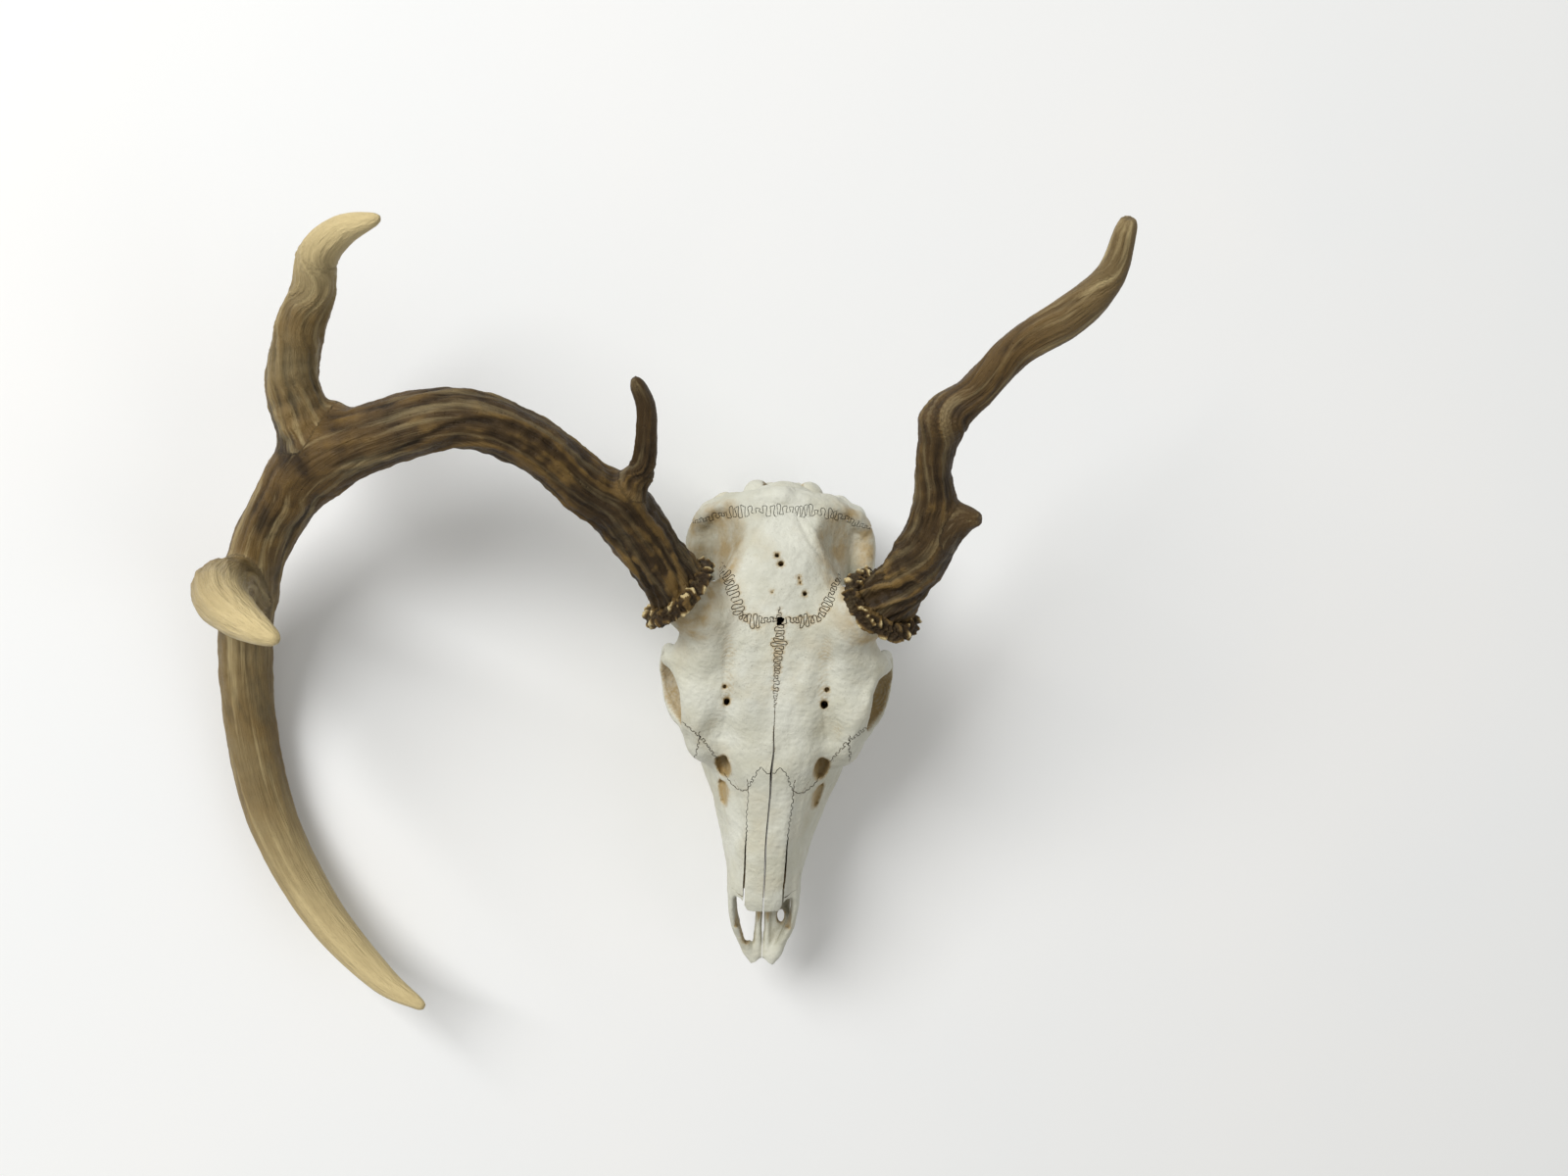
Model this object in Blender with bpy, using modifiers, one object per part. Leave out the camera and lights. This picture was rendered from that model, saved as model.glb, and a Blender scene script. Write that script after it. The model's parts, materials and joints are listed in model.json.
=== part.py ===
"""A white-tailed deer's skull with its antlers, without the lower jaw, lying as it would rest on a floor.

The skull has its own frame, in millimetres: +X is the animal's left, +Y runs back from the muzzle, +Z is up
from the palate, and the origin is on the midline at the height of the chewing teeth, between the eye
sockets. An empty, lie, turns that frame to the way the skull lies on the floor.
"""

import math

import bmesh
import bpy
import numpy as np
from mathutils import Matrix, Vector

MM = 0.001
GAP = 0.3  # the width of a suture, and of the cut between two lengths of an antler

# Driving dimensions of the skull
CHEEK_WIDTH = 121.6  # across the cheek bones below the eye sockets
FOREHEAD_HEIGHT = 101.0  # from the chewing faces of the teeth to the top of the head
ORBIT_RADIUS = 19.6
ORBIT_RIM = 2.7
ORBIT_CENTRE = (50.6, -5.5, 65.0)
ORBIT_FACING = (1.0, -0.26, 0.26)
MUZZLE_LEAN = -3.0  # the muzzle of this animal bends to its right
BREGMA_Y = 32.0  # where the two frontal bones meet the parietal
NASION_Y = -45.0  # where they meet the nasal bones
NASAL_HALF_WIDTH = 10.8
ARCH_SUTURE_Y = 34.0
MAXILLA_BACK_Y = 5.0
VOXEL = 1.9
SKULL_TRIANGLES = 2500

# How the skull lies on its right tooth row, its right jugular process and the long antler: turned about the
# axis across it, then about its long axis, in degrees, and moved until these three stand on the floor
LIE_PITCH = -6.39
LIE_ROLL = -19.15
LIE_MOVE = (116.6, -36.8, 9.95)
FLAT_DEPTH = 0.6  # how much of each the floor takes off, as a small flat to stand on
FLOOR_BLOCK = (1.2, 1.2, 0.1)  # in metres

FOOT_BLOCK_DEPTH = 30.0  # of the blocks that part an antler from the skull at its foot
SKULL_BLOCK_RADIUS = 20.0
ANTLER_BLOCK_RADIUS = 30.0
BURR_SINK = 1.2  # how far the burr reaches back past the foot
LEAN_START_Y = -20.0  # where the bend of the muzzle begins, and the length that it grows over
LEAN_LENGTH = 95.0
SHARP_ANGLE = 50.0

BONE = (0.84, 0.80, 0.70)
ANTLER = (0.30, 0.20, 0.11)

# One row for each section of a loft: y, lowest z, highest z, half width at the bottom, half width at the top,
# and how square the section is (2 is an ellipse)
BRAINCASE = (
    (-8, 40, 82, 9, 13, 2.2),
    (10, 42, 90, 13, 19, 2.2),
    (28, 41, 98, 25, 28, 2.3),
    (46, 36, FOREHEAD_HEIGHT, 35, 28, 2.4),
    (64, 33, 98, 43, 29, 2.4),
    (80, 32, 90, 44, 31, 2.6),
    (90, 31, 80, 41, 30, 3.0),
    (96, 34, 74, 33, 25, 3.0),
)
FOREHEAD = (
    (-54, 64, 78.6, 14, 10, 2.4),
    (-42, 62, 83, 23, 16, 2.4),
    (-26, 60, 87.5, 33, 24, 2.4),
    (-12, 62, 92, 42, 34, 2.5),
    (4, 67, 96, 49, 42, 2.6),
    (19, 70, 99, 49, 44, 2.8),
    (34, 74, FOREHEAD_HEIGHT, 43, 38, 2.8),
    (50, 78, FOREHEAD_HEIGHT - 0.5, 31, 28, 2.6),
    (66, 78, 96, 20, 19, 2.4),
)
ROSTRUM = (
    (6, 16, 60, 32, 29, 3.0),
    (-12, 13, 72, 37, 32, 3.0),
    (-30, 12, 80, 46, 29, 3.0),
    (-45, 13, 79.5, 46, 23, 3.0),
    (-58, 15, 76.5, 40.5, 19, 3.0),
    (-72, 16, 72.5, 34, 17, 3.0),
    (-88, 17, 67, 28.3, 15.5, 3.0),
    (-104, 18, 61.5, 23.2, 14.8, 3.0),
    (-115, 18, 57.5, 21.6, 14.4, 3.0),
)
NASALS = (
    (-44, 72, 82.5, 10, 9.5, 2.4),
    (-58, 68, 79.5, 12, 11.5, 2.4),
    (-70, 64, 76, 12, 11.5, 2.4),
    (-92, 56, 69.3, 12, 11.5, 2.3),
    (-108, 51, 63.3, 11.6, 11.0, 2.3),
    (-117, 49, 59.2, 10.6, 10, 2.3),
    (-121.5, 49, 56.5, 8.6, 8, 2.3),
)
NASAL_CAVITY = (
    (-36, 52, 70, 7, 7, 2.4),
    (-50, 40, 76, 12.5, 13, 2.6),
    (-70, 31, 70.5, 14.5, 13, 2.6),
    (-90, 25, 64.5, 14, 12.6, 2.6),
    (-106, 22.5, 58.8, 13.5, 12.2, 2.6),
    (-118, 22, 54.8, 14.6, 12, 2.6),
    (-134, 24, 51, 16, 12, 2.6),
)
BRAIN_OPENING = (
    (70, 36, 60, 12, 12, 2.2),
    (90, 33, 50, 11, 11, 2.2),
    (112, 29, 47, 10.5, 9, 2.2),
)
CHOANA = (
    (-12, 24, 38, 7, 6, 2.4),
    (8, 19, 37, 8.5, 7.5, 2.4),
    (44, 10, 30, 8.5, 7.5, 2.4),
)
PALATE_VAULT = (
    (-84, 3, 13.5, 12, 5, 2.4),
    (-66, 0, 19.5, 19, 9, 2.4),
    (-30, -2, 20, 24, 15, 2.6),
    (4, -2, 20, 25, 16, 2.6),
    (14, -2, 18, 25, 16, 2.6),
)

# One row for each station of a tube: x, y, z, half width, half height
CHEEK_BONE = (
    (27, -44, 33, 5, 6),
    (35, -36, 38.5, 5, 7),
    (42.5, -27.5, 42.5, 4.6, 7),
    (50.5, -16.5, 45, 3.8, 6),
    (CHEEK_WIDTH / 2 - 3.6, -2, 47, 3.0, 5.6),
    (54.5, 6, 49, 2.8, 5),
    (49.5, 16, 51, 2.6, 4.4),
    (46.5, 36, 52, 2.6, 4.4),
    (45.5, 52, 52.5, 3.0, 4.8),
    (42, 68, 51, 5.5, 6.5),
)
POSTORBITAL = (
    (30, 15, 88, 9, 7),
    (41, 12.5, 85.5, 9, 8),
    (49.5, 10.5, 78.5, 7, 8),
    (54.2, 8.5, 68, 4.4, 6),
    (57.2, 6, 57, 3, 5),
    (57.4, 3, 50, 2.8, 5),
)
TEMPLE_CREST = (
    (44, 60, 53, 3.4, 4.5),
    (45.3, 72, 52, 3.4, 4.5),
    (43, 80, 56, 3, 4),
    (38.5, 86, 62, 3, 4),
)
NUCHAL_CREST = (
    (40.5, 82, 57, 2.4, 3.4),
    (34.5, 87, 66, 2.4, 3.6),
    (25, 90.6, 71.5, 2.4, 4),
    (13, 93, 75, 2.4, 4.2),
    (-1, 94.2, 76, 2.4, 4.4),
)
# The trough in which the chewing muscle lay, beside the braincase
TEMPLE = (
    (62, 26, 96, 26, 32),
    (61, 44, 101, 29, 37),
    (59, 58, 101, 32, 42),
    (55, 70, 98, 34, 43),
    (51, 80, 95, 33, 41),
    (49, 90, 92, 30, 34),
)
PEDICLE = (
    (29, 24, 85, 18, 16),
    (36, 32, 94, 15.5, 15.5),
    (43, 38.5, 101, 14.4, 14.4),
    (50, 44.5, 105.5, 14.2, 14.2),
)
EAR_TUBE = ((30, 74, 40, 6, 6), (43.5, 78, 45, 5, 5))
EAR_HOLE = ((33, 75, 41.5, 2.6, 2.6), (48, 79, 46, 2.8, 2.8))
PTERYGOID = (
    (13, -4, 27, 2.6, 10),
    (12, 14, 27, 2.3, 10),
    (11.2, 28, 29, 2.2, 7.5),
    (10.5, 40, 32, 2.5, 4),
)
JUGULAR_PROCESS = ((30, 90, 42, 6, 7), (30.5, 94, 28, 4.2, 4.2), (29, 94, 17, 3, 3), (27.5, 92, 8.2, 2, 2))
SKULL_BASE = (
    (0, 104, 28, 9, 4.5),
    (0, 84, 27, 10, 5),
    (0, 60, 31, 8, 6),
    (0, 34, 35, 6, 6),
    (0, 2, 34, 5, 6),
)
MUZZLE_EDGE = (
    (15, -96, 45, 2.6, 8),
    (16.4, -109, 40, 2.6, 9.5),
    (16.6, -121, 33, 2.5, 9),
    (15, -132, 27, 2.4, 7),
    (11, -141.5, 22.5, 2.6, 4.6),
    (7.2, -150, 19.5, 3, 3.2),
    (2.6, -156.5, 18.5, 2.8, 2.4),
)
MUZZLE_INNER = (
    (3.2, -153, 18, 2.8, 2.4),
    (3.3, -140, 19, 1.9, 2.1),
    (3.1, -124, 20, 1.8, 2.1),
    (3.4, -108, 20.5, 2.6, 2.4),
)

# Ellipsoids: centre, then half axes
CONDYLE = ((13.4, 97, 35.5), (8.4, 7.6, 10.5))
OCCIPITAL_BOSS = ((0.5, 91, 58), (15, 12, 14))
EAR_CAPSULE = ((21.5, 75, 28), (7.5, 10.5, 8.5))
MASTOID = ((37, 87, 46), (7.5, 6.5, 11))
SQUAMOSAL = ((38.5, 64, 47.5), (9, 17, 6.5))
LACRIMAL = ((35.5, -22, 58), (13, 16, 22))
BROW = ((38.5, -5, 79.5), (11.5, 18, 10.5))
CHEEK_FLOOR = ((44, -9, 47), (14, 17, 6))
UPPER_VACUITY = ((25.5, -45.5, 72), (4.2, 6.4, 13))
LOWER_VACUITY = ((25.5, -60.5, 66), (3.8, 6.2, 13))
RIGHT_PALATE_SLOT = ((8.6, -129.5, 22), (3.6, 15.5, 22))
LEFT_PALATE_SLOT = ((8.6, -129, 22), (3.0, 6.0, 22))  # bone closes the rest of this one

# The cheek teeth of one side, from the front: y of the middle, length along the jaw, number of lobes
TEETH = (
    (-69.5, 9.0, 1),
    (-60.2, 9.4, 1),
    (-50.4, 9.8, 1),
    (-38.6, 13.4, 2),
    (-24.0, 15.4, 2),
    (-8.0, 16.4, 2),
)
TOOTH_HALF_WIDTH = 5.2
TOOTH_ROOT_Z = 17.0
TOOTH_TIP_Z = -0.8
TOOTH_ROW_FRONT_X = 21.5
TOOTH_ROW_BACK_X = 29.5

# The antlers. Each grows from a foot: the middle of its burr, and the way that this faces. Then one row for
# each station: x, y, z, radius. The beam of the animal's right antler is long and bears three tines. The
# left one is a crooked single beam with a stub.
RIGHT_FOOT = ((-47, 40.5, 104.2), (-0.68, 0.66, 0.32))
LEFT_FOOT = ((49, 39.5, 104), (0.5, 0.6, 0.62))
RIGHT_BEAM = (
    (-43, 36, 101, 14.6),
    (-48, 42.5, 104.6, 14.6),
    (-57, 55.5, 111, 14.4),
    (-67, 70, 119, 14.8),
    (-78, 83, 128, 15.2),
    (-92, 92, 138, 13.2),
    (-119, 111.8, 155, 12.9),
    (-150, 120.6, 165, 13.9),
    (-186, 112, 164, 15.2),
    (-217, 97, 155, 16.6),
    (-232.5, 81.5, 146, 14.6),
    (-250, 54.5, 130, 13.6),
    (-260, 20, 111, 13.0),
    (-262, -30, 92, 12.5),
    (-251.5, -79, 83, 12.0),
    (-227, -123.5, 80, 10.3),
    (-196, -155.5, 82, 7.2),
    (-175, -167.5, 86.5, 3.2),
    (-171.5, -169.5, 87.5, 1.2),
)
BROW_TINE = (
    (-77, 84, 130, 9.5),
    (-70, 95, 140, 7.2),
    (-65, 104, 150, 5.6),
    (-63, 117, 163, 4.8),
    (-63, 128, 174, 4.4),
    (-66, 136, 183, 3.6),
    (-67.5, 139, 186, 1.6),
)
SECOND_TINE = (
    (-214, 100, 155, 16.5),
    (-221.5, 117, 161, 13.8),
    (-225, 134, 168, 12.0),
    (-220, 153, 180, 10.8),
    (-210, 170, 194, 10.0),
    (-204, 185, 208, 8.6),
    (-191, 193.5, 220, 6.8),
    (-175, 196.5, 231, 3.0),
    (-172, 196.5, 232.5, 1.2),
)
THIRD_TINE = (
    (-257, 34, 118, 12.4),
    (-256.5, 41, 148, 12.2),
    (-252, 38.5, 176, 12.4),
    (-244, 33.5, 197, 11.8),
    (-231, 27, 213, 9.8),
    (-219.5, 22.5, 225, 7.2),
    (-211, 19.5, 232, 3.8),
    (-208.5, 19, 234, 1.4),
)
LEFT_BEAM = (
    (45, 36, 100, 14.4),
    (49.5, 41, 104.8, 14.4),
    (61, 53.5, 114, 13.2),
    (69.5, 69.5, 126, 12.8),
    (72, 89, 140, 10.0),
    (70, 105, 152, 8.4),
    (71, 118, 161, 9.4),
    (75, 129.5, 168, 10.0),
    (86, 139, 174, 8.4),
    (102, 157, 187, 8.2),
    (123, 170.5, 200, 9.2),
    (137.5, 185.5, 214, 6.8),
    (141.5, 203, 227, 4.8),
    (142, 207.5, 230.5, 3.2),
)
LEFT_STUB = ((66, 64, 121, 11), (76, 76, 133, 9.6), (85, 82.5, 141, 7.6), (93, 83, 147, 3.0))
FORK_WEB = ((-207, 113, 158.5), (9, 12, 9))
LEFT_KNUCKLE = ((72, 126, 168), (9, 7, 8))
BURR_RADIUS = 18.4
BURR_THICKNESS = 3.4
BEAM_ROUNDNESS = 3  # ten sides
STATION_STEP = 13.5

# Where the antlers are cut: a point on the branch, the direction along it, and the radius of the cut
RIGHT_CUTS = (
    ((-90, 92, 137.5), (-13, 9.5, 10), 19),
    ((-68.2, 98, 144.5), (5, 10.5, 11), 10),
    ((-199, 107, 160.5), (-33, -14, -6), 24),
    ((-225, 125, 164), (-2, 16, 8), 20),
    ((-238, 75, 142), (-18, -28, -16), 20),
    ((-256, 42, 149), (3, 0, 28), 14.5),
    ((-261.5, -1, 102.5), (-3, -50, -20), 20),
    ((-252, -79, 83), (18, -46, -6), 20),
)
LEFT_CUTS = (
    ((70.5, 96, 145), (-1, 17, 12), 16),
    ((93, 149, 181), (16, 18, 13), 14),
)

# The sutures that part the skull, each a path for a thin wall: points of x, y
CORONAL_SUTURE = (
    (-70, 62),
    (-34, 60),
    (-27, 52),
    (-20, BREGMA_Y),
    (20, BREGMA_Y),
    (27, 52),
    (34, 60),
    (70, 62),
)
LAMBDOID_SUTURE = ((-64, 79), (-45, 80.5), (-31, 84), (-16, 86.2), (16, 86.2), (31, 84), (45, 80.5), (64, 79))
FRONTAL_FRONT = (
    (-70, -9),
    (-44, -23),
    (-31, -36),
    (-22, -51),
    (-15, -57),
    (-6, NASION_Y),
    (0, NASION_Y - 2),
    (6, NASION_Y),
    (15, -57),
    (22, -51),
    (31, -36),
    (44, -23),
    (70, -9),
)
CHEEK_SUTURE = ((42, 14), (40, -8), (38, -29.4))
CHEEK_SUTURE_FRONT = ((38, -29), (42, -50))
# and points of y, z for those that are the same at every x
FRONTAL_FLOOR = ((-60, 72), (-44, 71), (-28, 65), (10, 66.5), (34, 73), (50, 80), (70, 84))
MUZZLE_SUTURE = ((-113.5, 80), (-112.5, 53), (-103, 44), (-112, 30), (-123, 6))

# A point near the middle of each bone, by which the pieces are told apart after the cuts
BONES = {
    "cranium": (0, 66, 58),
    "occipital": (0, 95, 60),
    "frontal_left": (27, 12, 84),
    "frontal_right": (-27, 12, 84),
    "maxilla_left": (20, -45, 38),
    "maxilla_right": (-20, -45, 38),
    "nasal_left": (6, -84, 67),
    "nasal_right": (-6, -84, 67),
    "premaxilla_left": (14, -128, 28),
    "premaxilla_right": (-14, -128, 28),
    "zygomatic_left": (51, -4, 48),
    "zygomatic_right": (-51, -4, 48),
}
RIGHT_ANTLER = {
    "antler_right_base": (-65, 66, 117),
    "antler_right_brow_tine": (-64, 115, 160),
    "antler_right_beam_lower": (-145, 119, 163),
    "antler_right_fork": (-219, 98, 155),
    "antler_right_second_tine": (-210, 165, 190),
    "antler_right_beam_middle": (-252, 45, 124),
    "antler_right_third_tine": (-245, 34, 192),
    "antler_right_beam_outer": (-259, -38, 90),
    "antler_right_beam_tip": (-222, -128, 80),
}
LEFT_ANTLER = {
    "antler_left_base": (65, 67, 124),
    "antler_left_beam": (74, 125, 165),
    "antler_left_tip": (118, 168, 198),
}
RESTS_ON_FLOOR = ("maxilla_right", "occipital", "antler_right_beam_outer", "antler_right_beam_tip")


def clear_scene():
    for obj in list(bpy.data.objects):
        bpy.data.objects.remove(obj, do_unlink=True)


def new_collection(name):
    made = bpy.data.collections.new(name)
    bpy.context.scene.collection.children.link(made)
    return made


def new_material(name, colour, roughness):
    made = bpy.data.materials.new(name)
    made.use_nodes = True
    shader = made.node_tree.nodes["Principled BSDF"]
    shader.inputs["Base Color"].default_value = (*colour, 1.0)
    shader.inputs["Roughness"].default_value = roughness
    shader.inputs["Metallic"].default_value = 0.0
    return made


def mesh_object(name, points, faces, collection):
    """An object from points in millimetres, its faces made triangles and turned outwards."""
    mesh = bpy.data.meshes.new(name)
    mesh.from_pydata([tuple(p) for p in np.asarray(points) * MM], [], faces)
    work = bmesh.new()
    work.from_mesh(mesh)
    bmesh.ops.triangulate(work, faces=work.faces)
    bmesh.ops.recalc_face_normals(work, faces=work.faces)
    work.to_mesh(mesh)
    work.free()
    obj = bpy.data.objects.new(name, mesh)
    collection.objects.link(obj)
    return obj


def hide(obj):
    obj.hide_render = True
    obj.display_type = "WIRE"
    return obj


def apply_modifiers(obj):
    """Turns the object, with its modifiers or its curve, into a plain welded mesh."""
    graph = bpy.context.evaluated_depsgraph_get()
    graph.update()
    mesh = bpy.data.meshes.new_from_object(obj.evaluated_get(graph))
    work = bmesh.new()
    work.from_mesh(mesh)
    bmesh.ops.remove_doubles(work, verts=work.verts, dist=1e-6)
    work.to_mesh(mesh)
    work.free()
    name = obj.name
    home = obj.users_collection[0]
    bpy.data.objects.remove(obj, do_unlink=True)
    plain = bpy.data.objects.new(name, mesh)
    home.objects.link(plain)
    return plain


def rings_to_faces(rings, sides):
    """The side faces between rings of the same number of points, and the two end caps."""
    faces = []
    for r in range(rings - 1):
        for k in range(sides):
            nxt = (k + 1) % sides
            faces.append((r * sides + k, r * sides + nxt, (r + 1) * sides + nxt, (r + 1) * sides + k))
    faces.append(tuple(range(sides)))
    faces.append(tuple(range((rings - 1) * sides, rings * sides)))
    return faces


def smooth_rows(rows, step):
    """The rows of a table with more between them, on a smooth curve through them all."""
    rows = np.asarray(rows, float)
    ends = np.vstack([2 * rows[0] - rows[1], rows, 2 * rows[-1] - rows[-2]])
    dense = []
    for i in range(1, len(ends) - 2):
        before, start, end, after = ends[i - 1 : i + 3]
        count = max(1, round(float(np.linalg.norm(end[:3] - start[:3])) / step))
        for t in np.arange(count) / count:
            curve = 2 * start + (end - before) * t
            curve = curve + (2 * before - 5 * start + 4 * end - after) * t**2
            curve = curve + (3 * start - before - 3 * end + after) * t**3
            dense.append(curve / 2)
    dense.append(rows[-1])
    return np.array(dense)


def loft(name, rows, collection, sides=28, step=6.0):
    """A body along Y: each section is a superellipse whose width changes from its bottom to its top."""
    rows = np.asarray(rows, float)
    level = np.zeros(len(rows))
    path = smooth_rows(np.column_stack([rows[:, 0], level, level, rows[:, 1:]]), step)
    turn = np.arange(sides) * 2 * math.pi / sides
    points = []
    for y, _, _, low, high, wide_low, wide_high, square in path:
        across = np.sign(np.cos(turn)) * np.abs(np.cos(turn)) ** (2 / square)
        up = np.sign(np.sin(turn)) * np.abs(np.sin(turn)) ** (2 / square)
        width = wide_low + (wide_high - wide_low) * (up + 1) / 2
        height = (low + high) / 2 + up * (high - low) / 2
        points.append(np.column_stack([across * width, np.full(sides, y), height]))
    return mesh_object(name, np.vstack(points), rings_to_faces(len(path), sides), collection)


def flat_tube(name, stations, collection, side=1, sides=16, step=5.0):
    """A tube of elliptic section through the stations: half width level, half height square to it."""
    path = smooth_rows(stations, step)
    ahead = np.gradient(path[:, :3], axis=0)
    ahead /= np.linalg.norm(ahead, axis=1)[:, None]
    level = np.cross(ahead, (0, 0, 1))
    level /= np.linalg.norm(level, axis=1)[:, None]
    upright = np.cross(level, ahead)
    turn = np.arange(sides) * 2 * math.pi / sides
    points = (
        path[:, None, :3]
        + level[:, None] * (path[:, 3, None] * np.cos(turn))[..., None]
        + upright[:, None] * (path[:, 4, None] * np.sin(turn))[..., None]
    )
    points[..., 0] *= side
    return mesh_object(name, points.reshape(-1, 3), rings_to_faces(len(path), sides), collection)


def ellipsoid(name, shape, collection, side=1):
    centre, half = shape
    work = bmesh.new()
    bmesh.ops.create_uvsphere(work, u_segments=16, v_segments=10, radius=MM)
    place = Matrix.Translation(Vector((centre[0] * side, *centre[1:])) * MM)
    bmesh.ops.transform(work, matrix=place @ Matrix.Diagonal((*half, 1)), verts=work.verts)
    mesh = bpy.data.meshes.new(name)
    work.to_mesh(mesh)
    work.free()
    obj = bpy.data.objects.new(name, mesh)
    collection.objects.link(obj)
    return obj


def orbit_frame(side):
    """Places a shape, drawn round the Z axis, at an eye socket, with Z looking out of it."""
    facing = Vector((ORBIT_FACING[0] * side, *ORBIT_FACING[1:])).normalized()
    centre = Vector((ORBIT_CENTRE[0] * side, *ORBIT_CENTRE[1:])) * MM
    return Matrix.Translation(centre) @ facing.to_track_quat("Z", "Y").to_matrix().to_4x4()


def orbit_rim(collection, side):
    bpy.ops.mesh.primitive_torus_add(
        major_radius=(ORBIT_RADIUS + ORBIT_RIM / 2) * MM,
        minor_radius=ORBIT_RIM * MM,
        major_segments=36,
        minor_segments=12,
    )
    obj = bpy.context.object
    obj.data.transform(orbit_frame(side))
    for home in list(obj.users_collection):
        home.objects.unlink(obj)
    collection.objects.link(obj)
    return obj


def orbit_hollow(collection, side):
    """The socket itself: a cone-like ball that opens outwards."""
    obj = ellipsoid("orbit_hollow", ((0, 0, -3), (ORBIT_RADIUS - 1, ORBIT_RADIUS - 1, 21)), collection)
    obj.data.transform(orbit_frame(side))
    return obj


def tooth_row(collection, side):
    """The chewing teeth of one side: each lobe is a tapered column with a slanted top."""
    made = []
    front, back = TEETH[0][0], TEETH[-1][0]
    for middle, length, lobes in TEETH:
        for lobe in range(lobes):
            y = middle + length / lobes * (lobe - (lobes - 1) / 2)
            share = (y - front) / (back - front)
            spread = (TOOTH_ROW_BACK_X - TOOTH_ROW_FRONT_X) * max(share, 0) ** 0.7
            x = TOOTH_ROW_FRONT_X + spread
            half = length / lobes / 2
            stations = (
                (x - 1, y, TOOTH_ROOT_Z, TOOTH_HALF_WIDTH, half + 0.4),
                (x - 0.3, y, 7, TOOTH_HALF_WIDTH, half + 0.3),
                (x, y, TOOTH_TIP_Z + 1.2, TOOTH_HALF_WIDTH - 1.1, half - 0.6),
                (x, y, TOOTH_TIP_Z, TOOTH_HALF_WIDTH - 2.2, half - 1.6),
            )
            made.append(upright_column("tooth", stations, collection, side))
    return made


def upright_column(name, stations, collection, side, sides=14):
    turn = np.arange(sides) * 2 * math.pi / sides
    points = [
        np.column_stack([(x + wide * np.cos(turn)) * side, y + deep * np.sin(turn), np.full(sides, z)])
        for x, y, z, wide, deep in stations
    ]
    return mesh_object(name, np.vstack(points), rings_to_faces(len(stations), sides), collection)


def join(name, objects, collection):
    """One object that holds the meshes of many, which it replaces."""
    work = bmesh.new()
    for obj in objects:
        work.from_mesh(obj.data)
        bpy.data.objects.remove(obj, do_unlink=True)
    mesh = bpy.data.meshes.new(name)
    work.to_mesh(mesh)
    work.free()
    obj = bpy.data.objects.new(name, mesh)
    collection.objects.link(obj)
    return obj


def melt(obj, voxel):
    """Makes overlapping closed shapes one skin."""
    change = obj.modifiers.new("melt", "REMESH")
    change.mode = "VOXEL"
    change.voxel_size = voxel * MM
    return apply_modifiers(obj)


def cut(obj, cutter):
    """Takes the cutter's shape away. Every mesh here is closed, and the many thin cuts need this solver."""
    change = obj.modifiers.new("cut", "BOOLEAN")
    change.operation = "DIFFERENCE"
    change.solver = "MANIFOLD"
    change.object = cutter


def skull_masses(work):
    """Everything that the skull is built up from, overlapping."""
    braincase = loft("braincase", BRAINCASE, work)
    for side in (1, -1):
        temple = flat_tube("temple", TEMPLE, work, side)
        cut(braincase, temple)
        braincase = apply_modifiers(braincase)
        bpy.data.objects.remove(temple, do_unlink=True)
    masses = [
        braincase,
        loft("forehead", FOREHEAD, work),
        loft("rostrum", ROSTRUM, work),
        loft("nasals", NASALS, work),
        flat_tube("skull_base", SKULL_BASE, work),
        ellipsoid("occipital_boss", OCCIPITAL_BOSS, work),
    ]
    tubes = {
        "cheek_bone": CHEEK_BONE,
        "postorbital": POSTORBITAL,
        "temple_crest": TEMPLE_CREST,
        "nuchal_crest": NUCHAL_CREST,
        "pedicle": PEDICLE,
        "ear_tube": EAR_TUBE,
        "pterygoid": PTERYGOID,
        "jugular_process": JUGULAR_PROCESS,
        "muzzle_edge": MUZZLE_EDGE,
        "muzzle_inner": MUZZLE_INNER,
    }
    balls = {
        "condyle": CONDYLE,
        "ear_capsule": EAR_CAPSULE,
        "mastoid": MASTOID,
        "squamosal": SQUAMOSAL,
        "lacrimal": LACRIMAL,
        "brow": BROW,
        "cheek_floor": CHEEK_FLOOR,
    }
    for side in (1, -1):
        for name, stations in tubes.items():
            masses.append(flat_tube(name, stations, work, side))
        for name, shape in balls.items():
            masses.append(ellipsoid(name, shape, work, side))
        masses.append(orbit_rim(work, side))
        masses += tooth_row(work, side)
    return masses


def skull_hollows(work):
    """The openings of the skull: nose, eye sockets, palate, the way into the brain, and the small windows."""
    hollows = [
        loft("nasal_cavity", NASAL_CAVITY, work),
        loft("brain_opening", BRAIN_OPENING, work),
        loft("choana", CHOANA, work),
        loft("palate_vault", PALATE_VAULT, work),
    ]
    for side, palate_slot in ((1, LEFT_PALATE_SLOT), (-1, RIGHT_PALATE_SLOT)):
        for shape in (UPPER_VACUITY, LOWER_VACUITY, palate_slot):
            hollows.append(ellipsoid("window", shape, work, side))
        hollows.append(orbit_hollow(work, side))
        hollows.append(flat_tube("ear_hole", EAR_HOLE, work, side, sides=10))
    return hollows


def thin_wall(name, path, start, end, collection, axis="Z"):
    """A wall as thick as a suture, along a path of points and from start to end along the axis."""
    path = np.asarray(path, float)
    if axis == "Z":
        rail = [np.column_stack([path, np.full(len(path), level)]) for level in (start, end)]
    else:
        rail = [np.column_stack([np.full(len(path), level), path]) for level in (start, end)]
    count = len(path)
    faces = [(i, i + 1, count + i + 1, count + i) for i in range(count - 1)]
    return thickened(mesh_object(name, np.vstack(rail), faces, collection))


def mirrored(path, side):
    return [(x * side, y) for x, y in path]


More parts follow.
